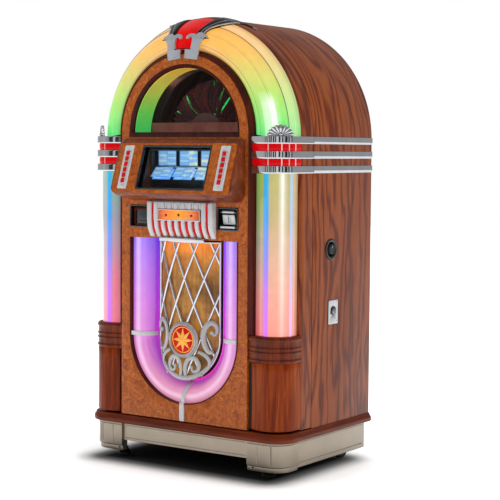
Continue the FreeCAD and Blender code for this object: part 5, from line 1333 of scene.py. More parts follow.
def key_plates():
    """Chrome key plates with raised frames round six keys each, and a screw at either end."""
    plates = Form()
    for side in (-1, 1):
        x = side * KEY_X
        outer = rounded(rectangle(x - 19, x + 19, -75, 75), 3.5, 4)
        holes = [rounded(rectangle(x - 7.6, x + 7.6, b - 7.8, b + 7.8), 1, 2) for b in KEY_ROWS]
        plates.plate([outer] + holes, 2.8, console_face(0.2), 0.9)
        for b in KEY_ROWS:
            rim = [rounded(rectangle(x - 10.6, x + 10.6, b - 9.1, b + 9.1), 1.5, 3),
                   rounded(rectangle(x - 7.4, x + 7.4, b - 7.6, b + 7.6), 1, 3)]
            plates.plate(rim, 2.4, console_face(2.9), 0.8)
        for b in (-66, 66):
            centre = console_face(3.0)
            screw_head(plates, lambda p, q, h, b=b, x=x: centre(x + p, b + q, h), 5.2)
    plates.make("key_plate_frames", "door", KEY_SILVER, ["key_plates"])
    for side, label in ((-1, "left"), (1, "right")):
        for k, b in enumerate(KEY_ROWS):
            key = Form()
            rows = []
            place = console_face()
            for width, height, lift in KEY_CAP:
                loop = rounded(rectangle(-width, width, -height, height), width * 0.32, 4)
                rows.append([place(side * KEY_X + x, b + y, lift) for x, y in loop])
            key.grid(rows, ring=True, caps=True)
            node = f"select_button_{label}_{k + 1}"
            key.make(f"key_{label}_{k + 1}", node + "_body", KEY_RED, [node])


# ---------------------------------------------------------------- door: selector and coin gear

RIBS = 10
RIB_PITCH = 27.9
RIB_HALF = 9.4
CARD_FOOT = 822                        # below the title card the ribs get narrower


def selector_ribs():
    """Cast selector front: curved ribs, narrower below the title card, and its bars."""
    ribs = Form()

    def rib_half(z, k):
        """Half the width of a rib: the middle ribs are narrower below the title card."""
        return RIB_HALF if z > CARD_FOOT or k in (0, RIBS - 1) else 7.6
    profile = spline([(-229, 886), (-246, 885.5), (-250.6, 880), (-251, 850), (-250, 816), (-246, 796),
                      (-235, 774), (-229, 768)], 5)
    for k in range(RIBS):
        x = (k - (RIBS - 1) / 2) * RIB_PITCH
        rows = []
        for share, dip in ((-1, 3.4), (-0.9, 1.4), (-0.65, 0.4), (-0.3, 0), (0.3, 0), (0.65, 0.4),
                           (0.9, 1.4), (1, 3.4)):
            front_run = [(x + share * rib_half(z, k), min(y + dip, -229.0), z) for y, z in profile]
            rows.append(front_run + [(x + share * rib_half(768, k), -214.5, 768),
                                     (x + share * RIB_HALF, -214.5, 886)])
        ribs.grid(rows, ring=True, caps=True)
    for k in range(1, 8):
        x = (k - 4) * RIB_PITCH
        ribs.block((x - 3.7, -249, 862.4), (x + 3.7, -216, 884), 0.6)
    ribs.make("selector_ribs", "door", RIB_SILVER, ["selector_grille"])
    bar = Form()
    bar.block((-91.5, -239, 755), (91.5, -229, 768), 2.0)
    bar.block((-127, -231.5, 884.5), (127, -222, 889.5), 1.2)
    bar.make("selector_bar", "door", CHROME)


def selector_inserts():
    """Red light between the ribs."""
    inserts = Form()
    for k in range(RIBS - 1):
        x = (k - 4) * RIB_PITCH
        top = 880 if k in (0, RIBS - 2) else CARD_FOOT
        inset = spline([(-222, top), (-245.4, top - 1.5), (-245.6, 820 if top > 830 else 812), (-242, 796),
                        (-233, 779), (-222, 775)], 4)
        rows = [[(x + dx, min(y + dip, -221.0), z) for y, z in inset] for dx, dip in
                ((-6.2, 1.5), (-4.0, 0.2), (0, -0.4), (4.0, 0.2), (6.2, 1.5))]
        back = [[(px, -219.5, pz) for px, _, pz in row] for row in rows]
        inserts.grid([row + list(reversed(rear)) for row, rear in zip(rows, back)], ring=True, caps=True)
    inserts.make("selector_inserts_red", "door", RED_LIGHT, ["selector_inserts"])


def title_card():
    """Lit card over the ribs, with ruled lines and three star motifs in place of lettering."""
    label = Form()
    label.plate([rounded(rectangle(-85.5, 85.5, 825.5, 861), 3, 4)], 2.4, front(-250.2), 0.8)
    label.make("title_card", "door", LABEL)
    trim = Form()
    trim.plate([rounded(rectangle(-87.5, 87.5, 824, 862.3), 4, 4),
                rounded(rectangle(-83.5, 83.5, 828, 858.3), 3, 4)],
               2.4, front(-250.9), 0.9)
    for x0, x1, z in ((-74, -30, 848), (-66, 66, 834), (30, 74, 848)):
        trim.rod([(x0, -253.2, z), (x1, -253.2, z)], 0.8, 8)
    trim.make("title_card_frame", "door", SATIN)
    for k, (x, z) in enumerate(((-52, 842), (52, 842), (0, 843))):
        motif = Form()
        star(motif, (x, z), 8.5 if x else 10.5, 3.6, 6, -252.4, 1.4)
        motif.make(f"card_motif_{k + 1}", "door", SHELF_RED)


def star(form, centre, outer, inner, points, y, lift):
    """A faceted star standing proud of the plane y."""
    rim = []
    for k in range(points * 2):
        angle = math.pi * (k / points) + math.pi / 2
        radius = outer if k % 2 == 0 else inner
        rim.append((centre[0] + radius * math.cos(angle), y, centre[1] + radius * math.sin(angle)))
    peak = (centre[0], y - lift, centre[1])
    low = (centre[0], y + 0.8, centre[1])
    back = [(x, y + 0.8, z) for x, _, z in rim]
    count = len(rim)
    faces = [(i, (i + 1) % count, 2 * count) for i in range(count)]
    faces += [(i, (i + 1) % count, count + (i + 1) % count, count + i) for i in range(count)]
    faces += [(count + i, count + (i + 1) % count, 2 * count + 1) for i in range(count)]
    form.add(rim + back + [peak, low], faces)


def coin_recesses():
    """Deep black recesses: coin entry on the right, return cup on the left."""
    cups = Form()
    for side in (-1, 1):
        x0, x1 = sorted((side * (RECESS[0] + 0.5), side * (RECESS[1] - 0.5)))
        outer = rectangle(x0, x1, 799, 869.5)
        inner = rounded(rectangle(x0 + 2.5, x1 - 2.5, 801.5, 867), 4, 4)
        cups.plate([rounded(outer, 1, 2), inner], 38, front(-192.5), 0.8)
        cups.plate([rounded(outer, 1, 2)], 2.2, front(-190.5), 0.5)
        lip = [rounded(rectangle(x0 - 3, x1 + 3, 796.5, 872), 5, 4),
               rounded(rectangle(x0 + 2, x1 - 2, 801, 867.5), 4, 4)]
        cups.plate(lip, 3.0, front(FACE), 1.1)
    cups.make("coin_recesses", "door", BLACK_GLOSS, ["coin_unit"])


def coin_entry():
    """Sloping entry plate with its slot, guide and screws."""
    entry = Form()
    slope = math.radians(12)

    def tilted(a, b, c):
        return (a, -218.5 - c - (b - 832) * math.sin(slope), b)
    slit = rounded(rectangle(179, 183, 822, 843), 1.6, 3)
    entry.plate([rounded(rectangle(157, 205, 816.5, 848), 4, 4), slit], 3.2, tilted, 1.0)
    guide = [rounded(rectangle(174, 188, 818.5, 846), 5, 4), slit]
    entry.plate(guide, 2.6, lambda a, b, c: tilted(a, b, c + 3.0), 1.0)
    for x in (162, 200):
        screw_head(entry, lambda x1, y1, h, x=x: tilted(x + x1, 821.5 + y1, 3.0 + h), 2.4)
    entry.block((152, -231, 804.5), (210, -222, 811.5), 1.6)
    entry.rod([(152, -226, 855.8), (210, -226, 855.8)], 0.8, 8)
    entry.make("coin_entry", "door", KEY_SILVER)


def coin_return():
    """Return flap in its red frame, and the reject button."""
    frame_form = Form()
    outer = rounded(rectangle(-215, -147, 802, 862.5), 5, 4)
    inner = rounded(rectangle(-207, -155, 809, 855), 4, 4)
    frame_form.plate([outer, inner], 2.4, front(-217.2), 0.8)
    frame_form.make("return_frame", "return_flap", SHELF_RED)
    flap = Form()
    flap.plate([rounded(rectangle(-213, -149, 804, 860.5), 4, 4)], 2.0, front(-215.1), 0.7)
    flap.rod([(-196, -218.6, 818), (-166, -218.6, 818)], 1.3, 10)
    flap.make("return_flap_plate", "return_flap", BLACK_GLOSS, ["coin_return_flap"])
    low, high = span("coin_reject_button")
    button = Form()
    button.plate([rounded(rectangle(low.x + 0.2, high.x - 0.2, low.z + 0.2, high.z - 0.2), 3.5, 5)],
                 high.y - low.y, front(high.y), 1.8)
    button.make("reject_button_cap", "reject_button", SATIN, ["coin_reject_button"])


def coin_chute():
    """Coin chute and cash box inside the door."""
    chute = Form()
    chute.block((166, -191, 540), (196, -131, 860), 2)
    for z in (600, 700, 800):
        chute.block((164.6, -192.4, z), (197.4, -129.6, z + 8), 1.2)
    chute.block((146, -163, 430), (236, -89, 540), 3)
    chute.block((143, -166, 528), (239, -86, 538), 1.5)
    chute.make("coin_chute", "door", MILD)


# ---------------------------------------------------------------- door: light tube and grille

def bend_stretch(radius):
    """How far the bend runs below a true circle: 1 at its outer edge, most at its inner edge."""
    return 1 + BEND_DROP * max(0.0, TUBE_OPENING - radius) / (TUBE_OPENING - GRILLE_HALF)


def bow_rows(section, top, steps=40):
    """Rows for a section of (radius, y) run down the right leg, round the bend and up the left leg."""
    rows = [[(r, y, top) for r, y in section], [(r, y, (top + BOW_Z) / 2) for r, y in section]]
    for i in range(steps + 1):
        angle = -math.pi * i / steps
        rows.append([(r * math.cos(angle), y, BOW_Z + r * math.sin(angle) * bend_stretch(r)) for r,
                     y in section])
    rows.append([(-r, y, (top + BOW_Z) / 2) for r, y in section])
    rows.append([(-r, y, top) for r, y in section])
    return rows


FOOT_STRIP = 160.0                     # lower end of the strip below the light tube


def light_tube():
    """The U-shaped light tube round the grille, with its dark rim and inner edge."""
    face = spline([(221.5, -206), (220, -214), (210, -221), (197, -224), (182, -222.5), (168, -214.5),
                   (155, -203), (144, -190), (138, -176)], 5)
    rear = [(r - 1.5, y + 4) for r, y in reversed(face)]
    tube = Form()
    tube.grid(bow_rows(face + rear, TUBE_HIGH.z - 1), ring=True, caps=True, unit=True)
    tube.corners = [[(min(u * 2, 1.0), v) for u, v in c] for c in tube.corners]
    tube.make("grille_light", "door", TUBE, ["light_tube"], sharp=60)
    inner = [(139.5, -177.5), (137.2, -182), (133.5, -184), (131.5, -181), (131.5, -172), (138, -170)]
    swept(bow_rows(inner, TUBE_HIGH.z - 1), "grille_light_edge", "door", MAGENTA_EDGE)
    outer = [(TUBE_OPENING + 0.6, FACE + 2), (TUBE_OPENING + 0.6, FACE - 1.6),
             (TUBE_OPENING - 0.8, FACE - 2.6), (TUBE_OPENING - 3.4, FACE - 1.5),
             (TUBE_OPENING - 4, FACE + 10), (TUBE_OPENING - 0.5, FACE + 12)]
    swept(bow_rows(outer, TUBE_HIGH.z - 1), "grille_light_rim", "door", DARK_WOOD)


def tube_trim():
    """Bright cuffs at the ends of the bend, and the strip down its middle."""
    hoop = spline([(222.2, -226), (214, -229.4), (197, -231.6), (180, -229), (164, -220), (150, -206.5),
                   (137, -188)], 4)
    ring = hoop + [(r - 0.8, y + 3.2) for r, y in reversed(hoop)]
    edges = [(BOW_Z - 7, 0.8), (BOW_Z - 6.1, 0.0), (BOW_Z + 6.1, 0.0), (BOW_Z + 7, 0.8)]
    swept([[(r - 0.2 * d, y + d, z) for r, y in ring] for z, d in edges], "tube_cuffs", "door", KEY_SILVER,
          both=True)
    strip = Form()
    blade = [(-9, 5), (-9, 0.5), (-7.5, -0.5), (-3, -0.9), (0, -2.6), (3, -0.9), (7.5, -0.5), (9, 0.5),
             (9, 5)]
    rows = []
    for r, y in reversed(hoop):
        lean = 3.0 + 10.0 * ((TUBE_OPENING - r) / (TUBE_OPENING - GRILLE_HALF)) ** 1.5
        rows.append([(lean + x * 0.8, y - 1.4 + c, BOW_Z - r * bend_stretch(r)) for x, c in blade])
    strip.grid(rows, ring=True, caps=True)
    tail = [(FOOT_STRIP, 0.0), (FOOT_STRIP + 1.5, -1.0), (BOW_Z - 226, -1.0), (BOW_Z - 219, -1.0),
            (BOW_Z - 216, 1.5)]
    strip.grid([[(x, FACE - 4 + lift + c, z) for x, c in blade] for z, lift in tail], ring=True, caps=True)
    strip.make("centre_strip", "door", KEY_SILVER)


BOW_AXIS = 26.0                        # axis of the bowed grille: y
BOW_RADIUS = 248.0


def on_bow(x, z, lift=0.0):
    """A point on the bowed grille surface, lift millimetres proud of its front."""
    angle = x / BOW_RADIUS
    reach = BOW_RADIUS + lift
    return (reach * math.sin(angle), BOW_AXIS - reach * math.cos(angle), z)


SIDE_SCROLL = ((104, -36), (92, -34), (80, -14), (74, 14), (80, 42), (98, 60), (116, 54), (121, 36),
               (113, 22), (104, 28))
LOW_SCROLL = ((10, -118), (9, -88), (22, -62), (46, -60), (60, -80), (54, -100), (38, -102), (33, -88))
LOW_LEAF = ((58, -36), (82, -48), (96, -66), (92, -88), (70, -112))


LATTICE_SLOPE = 2.28                   # rise of a bar for each unit across
LATTICE_PITCH = 171.0
LATTICE_START = 204.0                  # height of a crossing above the medallion
LATTICE_GAP = 50.0                     # radius kept free behind the medallion
BAR_HALF = 4.5
BAR_TALL = 3.0


def grille_lattice():
    """Bowed diamond lattice with a bright rounded face, inside a round border."""

    def inside(x, z):
        if z > GRILLE_TOP or abs(x) > GRILLE_HALF - 3:
            return False
        return z > BOW_Z or math.hypot(x, (z - BOW_Z) / bend_stretch(GRILLE_HALF)) < GRILLE_HALF - 3

    lattice = Form()
    for slope in (LATTICE_SLOPE, -LATTICE_SLOPE):
        for k in range(-4, 6):
            crossing = MEDAL_Z + LATTICE_START + LATTICE_PITCH * k
            path = []
            for i in range(-66, 67):
                x = i * 2.0
                z = crossing + slope * x
                if inside(x, z) and math.hypot(x, z - MEDAL_Z) > LATTICE_GAP:
                    path.append((x, z))
            parts = []
            for x, z in path:
                if parts and abs(parts[-1][-1][0] - x) < 3:
                    parts[-1].append((x, z))
                else:
                    parts.append([(x, z)])
            for part in parts:
                if len(part) < 4:
                    continue
                lift = -1.6 if slope > 0 else -2.4
                rows = [bar_section(x, z, slope, BAR_HALF, BAR_TALL, lift) for x, z in part]
                lattice.grid(rows, ring=True, caps=True)
    side = GRILLE_HALF - 3
    line = [(side, GRILLE_TOP - (GRILLE_TOP - BOW_Z) * k / 10) for k in range(10)]
    stretch = bend_stretch(GRILLE_HALF)
    line += [(x, BOW_Z + (z - BOW_Z) * stretch) for x, z in arc((0, BOW_Z), side, 0, -180, 40)]
    line += [(-side, BOW_Z + (GRILLE_TOP - BOW_Z) * k / 10) for k in range(1, 11)]
    lattice.rod([on_bow(x, z, -2) for x, z in line], 3.6, 10)
    lattice.rod([on_bow(x, GRILLE_TOP, -2) for x in range(-130, 131, 10)], 3.6, 10)
    lattice.make("lattice", "door", CHROME, ["grille_metalwork"])


def scrollwork():
    """Silvery scrolls over the lattice and the band that follows the bend."""
    stretch = bend_stretch(GRILLE_HALF)
    scrolls = Form()
    for side in (-1, 1):
        for path, thick, lean in ((SIDE_SCROLL, 9.5, 0.38), (LOW_SCROLL, 8.0, 0.16), (LOW_LEAF, 7.0, 0.28)):
            line = [on_bow(side * x, MEDAL_Z + z, 4.0) for x, z in spline(path, 6)]
            scrolls.rod(line, lambda t, w=thick: w * (0.55 + 0.45 * math.sin(math.pi * min(1.0, 0.12 + t))),
                        12, flat=0.4, normal=(side * lean, -1, 0))
            end = line[-1]
            scrolls.ball((end[0], end[1] - 1, end[2]), thick * 0.8, flat=(1, 0.6, 1))
        x, y, z = on_bow(side * SIDE_SCROLL[0][0], MEDAL_Z + SIDE_SCROLL[0][1], 4.0)
        scrolls.ball((x, y - 1, z), 7.5, flat=(1, 0.7, 1))
    band = []
    for k in range(33):
        angle = math.radians(-22 - 136 * k / 32)
        band.append(on_bow(125 * math.cos(angle), BOW_Z + 125 * math.sin(angle) * stretch, 1.5))
    scrolls.rod(band, lambda t: 3.0 + 5.5 * math.sin(math.pi * t), 12, flat=0.6, normal=(0, -1, 0))
    scrolls.make("scrollwork", "door", SCROLL_SILVER)


def grille_cloth():
    """Pleated gold cloth behind the lattice."""
    stretch = bend_stretch(GRILLE_HALF)
    rows = []
    depth = GRILLE_HALF * stretch - 1
    z_levels = [BOW_Z - depth + 4 * k for k in range(int((GRILLE_TOP + 4 - BOW_Z + depth) / 4) + 1)]
    for z in z_levels:
        reach = GRILLE_HALF
        if z < BOW_Z:
            reach = math.sqrt(max(GRILLE_HALF ** 2 - ((BOW_Z - z) / stretch) ** 2, 1.0))
        reach = max(reach, 6.0)
        row = []
        for k in range(41):
            x = reach * (k / 20 - 1)
            pleat = 0.5 * math.sin(x * 0.42) + 0.3 * math.sin(x * 0.17 + z * 0.02)
            row.append(on_bow(x, z, -8.6 + pleat))
        rows.append(row)
    rear = [[(x, y + 1.2, z) for x, y, z in row] for row in rows]
    swept([a + list(reversed(b)) for a, b in zip(rows, rear)], "grille_fabric", "door", CLOTH,
          ["grille_cloth"])


def bar_section(x, z, slope, half, tall, lift):
    """Half-round section of a lattice bar, square across its slope."""
    length = math.hypot(1, slope)
    across = (slope / length, -1 / length)
    row = []
    for share, proud in ((-1, 0), (-0.86, 0.55), (-0.5, 0.9), (0, 1.0), (0.5, 0.9), (0.86, 0.55), (1, 0)):
        row.append(on_bow(x + across[0] * half * share, z + across[1] * half * share,
                          lift + tall * (proud - 1) + 1.6))
    row.append(on_bow(x + across[0] * half, z + across[1] * half, lift - 3.4))
    row.append(on_bow(x - across[0] * half, z - across[1] * half, lift - 3.4))
    return row


def medallion():
    """Round boss on the grille: chrome ring, red enamel disc and a faceted gold star."""
    back = MEDAL_HIGH.y
    ring = Form()

    def place(a, b, c):
        return (a, back - c, MEDAL_Z + b)
    section = [(48.5, 0), (60, 0), (60, 3), (59, 5), (57, 6.2), (55.5, 5.2), (54.6, 5.6), (54, 8),
               (52.6, 10.4), (51, 11.6), (49.4, 11), (48, 8), (48, 4)]
    ring.lathe(section, place, 72)
    for k in range(36):
        angle = 2 * math.pi * k / 36
        ring.ball((57.4 * math.cos(angle), back - 5.6, MEDAL_Z + 57.4 * math.sin(angle)), 1.5, steps=8)
    ring.make("medallion_ring", "door", SCROLL_SILVER, ["medallion"])
    disc = Form()
    dish = [(0.02, 5.2), (14, 5.4), (30, 4.9), (42, 4.0), (48.2, 3.6), (48.2, 0.5), (0.02, 0.5)]
    disc.lathe(dish, place, 72, closed=False)
    disc.make("medallion_disc", "door", ENAMEL)
    gold = Form()
    star(gold, (0, MEDAL_Z), 41, 17, 8, back - 5.6, 6.0)
    gold.lathe([(40.5, 4.0), (43.5, 4.0), (43.5, 5.4), (42, 6.0), (40.5, 5.4)], place, 72)
    gold.ball((0, back - 10, MEDAL_Z), 5, flat=(1, 0.5, 1))
    gold.make("medallion_star", "door", STAR_GOLD)


# ---------------------------------------------------------------- door: crown

CROWN_RIDGE = ((276.5, -228.6), (284, -228), (300, -226.5), (322, -221.5), (346, -210), (367, -189),
               (385, -160), (397, -133), (401.3, -112), (402.4, -90), (402.4, -66.5))
CROWN_INNER = ((0.0, 6.6), (0.25, 6.9), (0.45, 7.9), (0.7, 8.4), (1.0, 8.6))
CROWN_OUTER = ((0.22, 12.2), (0.34, 12.0), (0.44, 12.8), (0.53, 14.8), (0.64, 17.4), (0.8, 20.5),
               (1.0, 22.0))
BRACKET_FACE = ((246, -236.6), (276, -235.6), (300, -232.0), (322, -228.4), (346, -217.5))
BRACKET_THICK = 9.0
BRACKET_REACH = 300.0                  # radius at which the bracket's outline is laid out flat
FOOT = ((2.1, 276.5), (2.1, 247.5), (3.0, 246.4), (12.9, 246.4), (13.5, 247.6), (13.6, 262))
BRACKET_OUTSIDE = ((13.6, 262), (13.1, 276), (12.4, 290), (12.5, 304), (13.1, 317), (14.1, 328),
                   (15.4, 336.5))
BRACKET_TOP = ((14.3, 339.5), (12.6, 342), (11.2, 346), (9.2, 344), (8.3, 338))
ARM_START = 0.21                       # share of the ridge's length at which the arms begin
SEAM_RADIUS = 400.5                    # radius of the thick black bead at the seam
SEAM_RAIL = -84.0                      # its depth: y
HORN = ((8.3, 338), (7.4, 335), (6.0, 337.5), (4.6, 337.5), (3.1, 334.5), (2.0, 328), (1.7, 320),
        (2.4, 316), (3.4, 319), (4.0, 323.5), (4.8, 325), (5.6, 323), (6.2, 317), (6.5, 309), (6.6, 298),
        (6.6, 286), (6.6, 276.5))


def between(stops, share):
    """Straight interpolation in a list of (share, value) stops."""
    for (x0, y0), (x1, y1) in zip(stops, stops[1:]):
        if share <= x1:
            return y0 + (y1 - y0) * (share - x0) / (x1 - x0)
    return stops[-1][1]


def crown_point():
    """A function of the share of the ridge's length, the angle from the middle and the lift."""
    ridge = spline(CROWN_RIDGE, 6)
    lengths = [0.0]
    for a, b in zip(ridge, ridge[1:]):
        lengths.append(lengths[-1] + math.dist(a, b))

    def at(share, angle, lift):
        reach = share * lengths[-1]
        i = 1
        while i < len(ridge) - 1 and reach > lengths[i]:
            i += 1
        t = (reach - lengths[i - 1]) / (lengths[i] - lengths[i - 1])
        (r0, y0), (r1, y1) = ridge[i - 1], ridge[i]
        size = math.hypot(r1 - r0, y1 - y0)
        r = r0 + (r1 - r0) * t + (y1 - y0) / size * lift
        y = y0 + (y1 - y0) * t - (r1 - r0) / size * lift
        return arch_point(r, math.pi / 2 - math.radians(angle), y)
    return at


def crown_lens():
    """Red lens along the crown of the arch."""
    at = crown_point()
    rows = []
    for i in range(61):
        share = i / 60
        spread = between(CROWN_INNER, share) + 0.5
        row = [at(share, s / 6 * spread, -1.0 - 2.6 * (s / 6) ** 2) for s in range(-6, 7)]
        rows.append(row + [at(share, spread, -9), at(share, -spread, -9)])
    swept(rows, "crown_lens", "door", CROWN_RED, sharp=60)


def crown_brackets():
    """Horned bracket on either side of the crown's lens."""
    def flat(a, b, c):
        return arch_point(b, math.pi / 2 - a / BRACKET_REACH, between(BRACKET_FACE, b) + BRACKET_THICK - c)

    outline = list(FOOT[:-1]) + spline(BRACKET_OUTSIDE, 4) + spline(BRACKET_TOP, 4)[:-1] + spline(HORN, 4)
    bracket = Form()
    bracket.plate([[(math.radians(a) * BRACKET_REACH, r) for a, r in outline]], BRACKET_THICK, flat, 0.8)
    bracket.mirrored()
    bracket.make("crown_brackets", "door", CASTING, ["crown_castings"])


def crown_arms():
    """Black arms with bright beading that sweep from the brackets over to the seam."""
    at = crown_point()
    arms = Form()
    beads = Form()
    rows = []
    for i in range(71):
        share = ARM_START + (1 - ARM_START) * i / 70
        inner = between(CROWN_INNER, share)
        width = between(CROWN_OUTER, share) - inner
        ease = min(1.0, (share - 0.19) / 0.05, (1.02 - share) / 0.06)
        rows.append([at(share, inner + width * s, h * ease if h > 0 else h) for s,
                     h in ((0, -7), (0, 0.6), (0.06, 2.4), (0.2, 3.4), (0.45, 3.2), (0.55, 1.8),
                           (0.66, 1.6), (0.78, 2.6), (0.92, 2.2), (1, 0.2), (1, -7))])
    arms.grid(rows, ring=True, caps=True)
    for edge, radius in ((0.99, 2.7), (0.58, 1.7)):
        path = []
        for i in range(41):
            share = 0.235 + 0.57 * i / 40
            inner = between(CROWN_INNER, share)
            path.append(at(share, inner + (between(CROWN_OUTER, share) - inner) * edge, 1.7))
        beads.rod(path, radius, 10)
    barb = [at(0.20, 12.4, 2.4), at(0.225, 14.6, 2.2), at(0.235, 17.0, 1.2)]
    arms.rod(spline(barb, 6), lambda t: 5.0 * (1 - t) + 0.5, 12, flat=0.7, normal=(0, -0.8, 0.5))
    rail = [arch_point(SEAM_RADIUS + 1, math.pi / 2 - math.radians(8 + 1.8 * k),
                       SEAM_RAIL + 0.9 * k) for k in range(11)]
    arms.rod(rail, lambda t: 15.0 - 6.0 * t, 16, flat=0.34, normal=(0.1, 0.0, 1.0))
    beads.rod([(x, y - 13.5 + 0.7 * k, z - 0.5) for k, (x, y, z) in enumerate(rail)],
              lambda t: 2.4 - 0.8 * t, 10)
    curl = []
    end = rail[-1]
    for i in range(29):
        t = i / 28
        around = math.radians(-20 + 380 * t)
        reach = 8.5 * (1 - 0.62 * t)
        curl.append((end[0] + reach * math.cos(around), end[1] - 3 + 0.7 * reach * math.sin(around),
                     end[2] + 1.0 - 0.3 * reach * math.cos(around)))
    beads.rod(curl, 2.6, 10)
    arms.mirrored()
    beads.mirrored()
    top = [arch_point(SEAM_RADIUS, math.pi / 2 - math.radians(k), SEAM_RAIL) for k in range(-10, 11)]
    arms.rod(top, 15.0, 16, flat=0.34, normal=(0, 0, 1))
    sill = [arch_point(277.5, math.pi / 2 - math.radians(k), -233.5) for k in range(-7, 8)]
    arms.rod(sill, 2.2, 10)
    arms.make("crown_arms", "door", ARM_BLACK)
    beads.make("crown_beads", "door", CHROME)


# ---------------------------------------------------------------- side fittings

def volume_knob():
    """Volume knob in its cup on the right side."""
    cup_low, cup_high = span("volume_cup")
    y = (cup_low.y + cup_high.y) / 2
    z = (cup_low.z + cup_high.z) / 2

    def about(a, b, c):
        return (HALF + c, y + a, z + b)
    deep = (cup_low.x - HALF) * 0.98
    cup = Form()
    cup.lathe([(35, 0.1), (35, 1.6), (34, 3.2), (31.5, 4.0), (27.5, 3.6), (25.2, 2.2), (23.6, -1),
               (23, deep + 3), (21.6, deep + 1.6), (0.02, deep + 1.6), (0.02, deep), (24.2, deep),
               (24.2, 0.1)], about, 64, closed=False)
    cup.make("knob_cup", "cabinet", BLACK, ["volume_cup"])
    tip = span("volume_knob")[1].x - HALF
    knob = Form()
    rows = []
    ridges = 24
    for k in range(ridges * 4):
        angle = 2 * math.pi * k / (ridges * 4)
        grip = 16.9 - (0.9 if k % 4 in (2, 3) else 0)
        row = []
        for r, h in ((0.02, deep + 2.4), (grip, deep + 2.4), (grip, tip - 2.6), (grip - 1.6, tip - 0.6),
                     (12.5, tip),
                     (11.5, tip - 1.2), (0.02, tip - 1.4)):
            row.append(about(r * math.cos(angle), r * math.sin(angle), h))
        rows.append(row)
    knob.grid(rows, loop=True)
    knob.add([about(x, b, h) for h in (tip - 1.3, tip - 0.2) for x,
              b in ((-0.8, 4), (0.8, 4), (0.8, 15), (-0.8, 15))], BOX_FACES, 1)
    knob.make("volume_grip", "knob", [SOFT_BLACK, GREY], ["volume_knob"])


def door_lock():
    """Escutcheon, collar and turning key plug on the right side."""
    low, high = span("lock_plate")
    plate = Form()
    lock_y, lock_z = LOCK
    plate.plate([rounded(rectangle(low.y, high.y, low.z, high.z), 3, 4), circle(LOCK, PLUG_HOLE, 32)], 2.4,
                right_side(HALF + 0.05), 0.8)
    for sy, sz in ((low.y + 7, low.z + 7), (high.y - 7, low.z + 7), (low.y + 7, high.z - 7),
                   (high.y - 7, high.z - 7)):
        screw_head(plate, lambda a, b, c, sy=sy, sz=sz: (HALF + 2.3 + c * 0.35, sy + a, sz + b), 3.2)
    plate.make("lock_escutcheon", "cabinet", SATIN, ["lock_plate"])
    collar = Form()
    shape = [(p[0] + lock_y, p[1] + lock_z + 2) for p in arc((0, 0), 15.5, 0, 180, 20)]
    shape += [(lock_y - 15.5, lock_z - 9), (lock_y + 15.5, lock_z - 9)]
    collar.plate([shape, circle(LOCK, PLUG_HOLE - 0.2, 32)], 2.2, right_side(HALF + 2.2), 0.9)
    collar.make("lock_collar", "cabinet", BLACK)
    plug = Form()

    def about_lock(a, b, c):
        return (HALF + c, lock_y + a, lock_z + b)
    tip = span("lock_plug")[1].x - HALF
    cam = [(-7, -10), (7, -10), (7, 21), (-7, 21)]
    turned = []
    for a, b in cam:
        turned.append((a * math.cos(CAM_REST) - b * math.sin(CAM_REST),
                       a * math.sin(CAM_REST) + b * math.cos(CAM_REST)))
    plug.plate([rounded(turned, 3, 3)], 2.8, lambda a, b, c: about_lock(a, b, c - 29.8), 0.4)
    pin = (-CAM_REACH * math.sin(CAM_REST), CAM_REACH * math.cos(CAM_REST))
    plug.rod([about_lock(pin[0], pin[1], -29), about_lock(pin[0], pin[1], -38.5)], 2.8, 12)
    plug.lathe([(0.02, -27.5), (6, -27.5), (6, -19), (0.02, -19)], about_lock, 24, closed=False)
    plug.lathe([(0.02, -19), (9.9, -19), (9.9, tip - 1.4), (9.2, tip - 0.3), (8.4, tip), (0.02, tip)],
               about_lock, 40, closed=False)
    piece = plug.make("key_plug", "key_lock", MILD, ["lock_plug"])
    slot = Form()
    slot.add([about_lock(x, b, h) for h in (tip - 2.6, tip + 2) for x,
              b in ((-0.9, -5.4), (0.9, -5.4), (0.9, 5.4), (-0.9, 5.4))], BOX_FACES)
    carve(piece, slot)


# ---------------------------------------------------------------- running gear under the cabinet

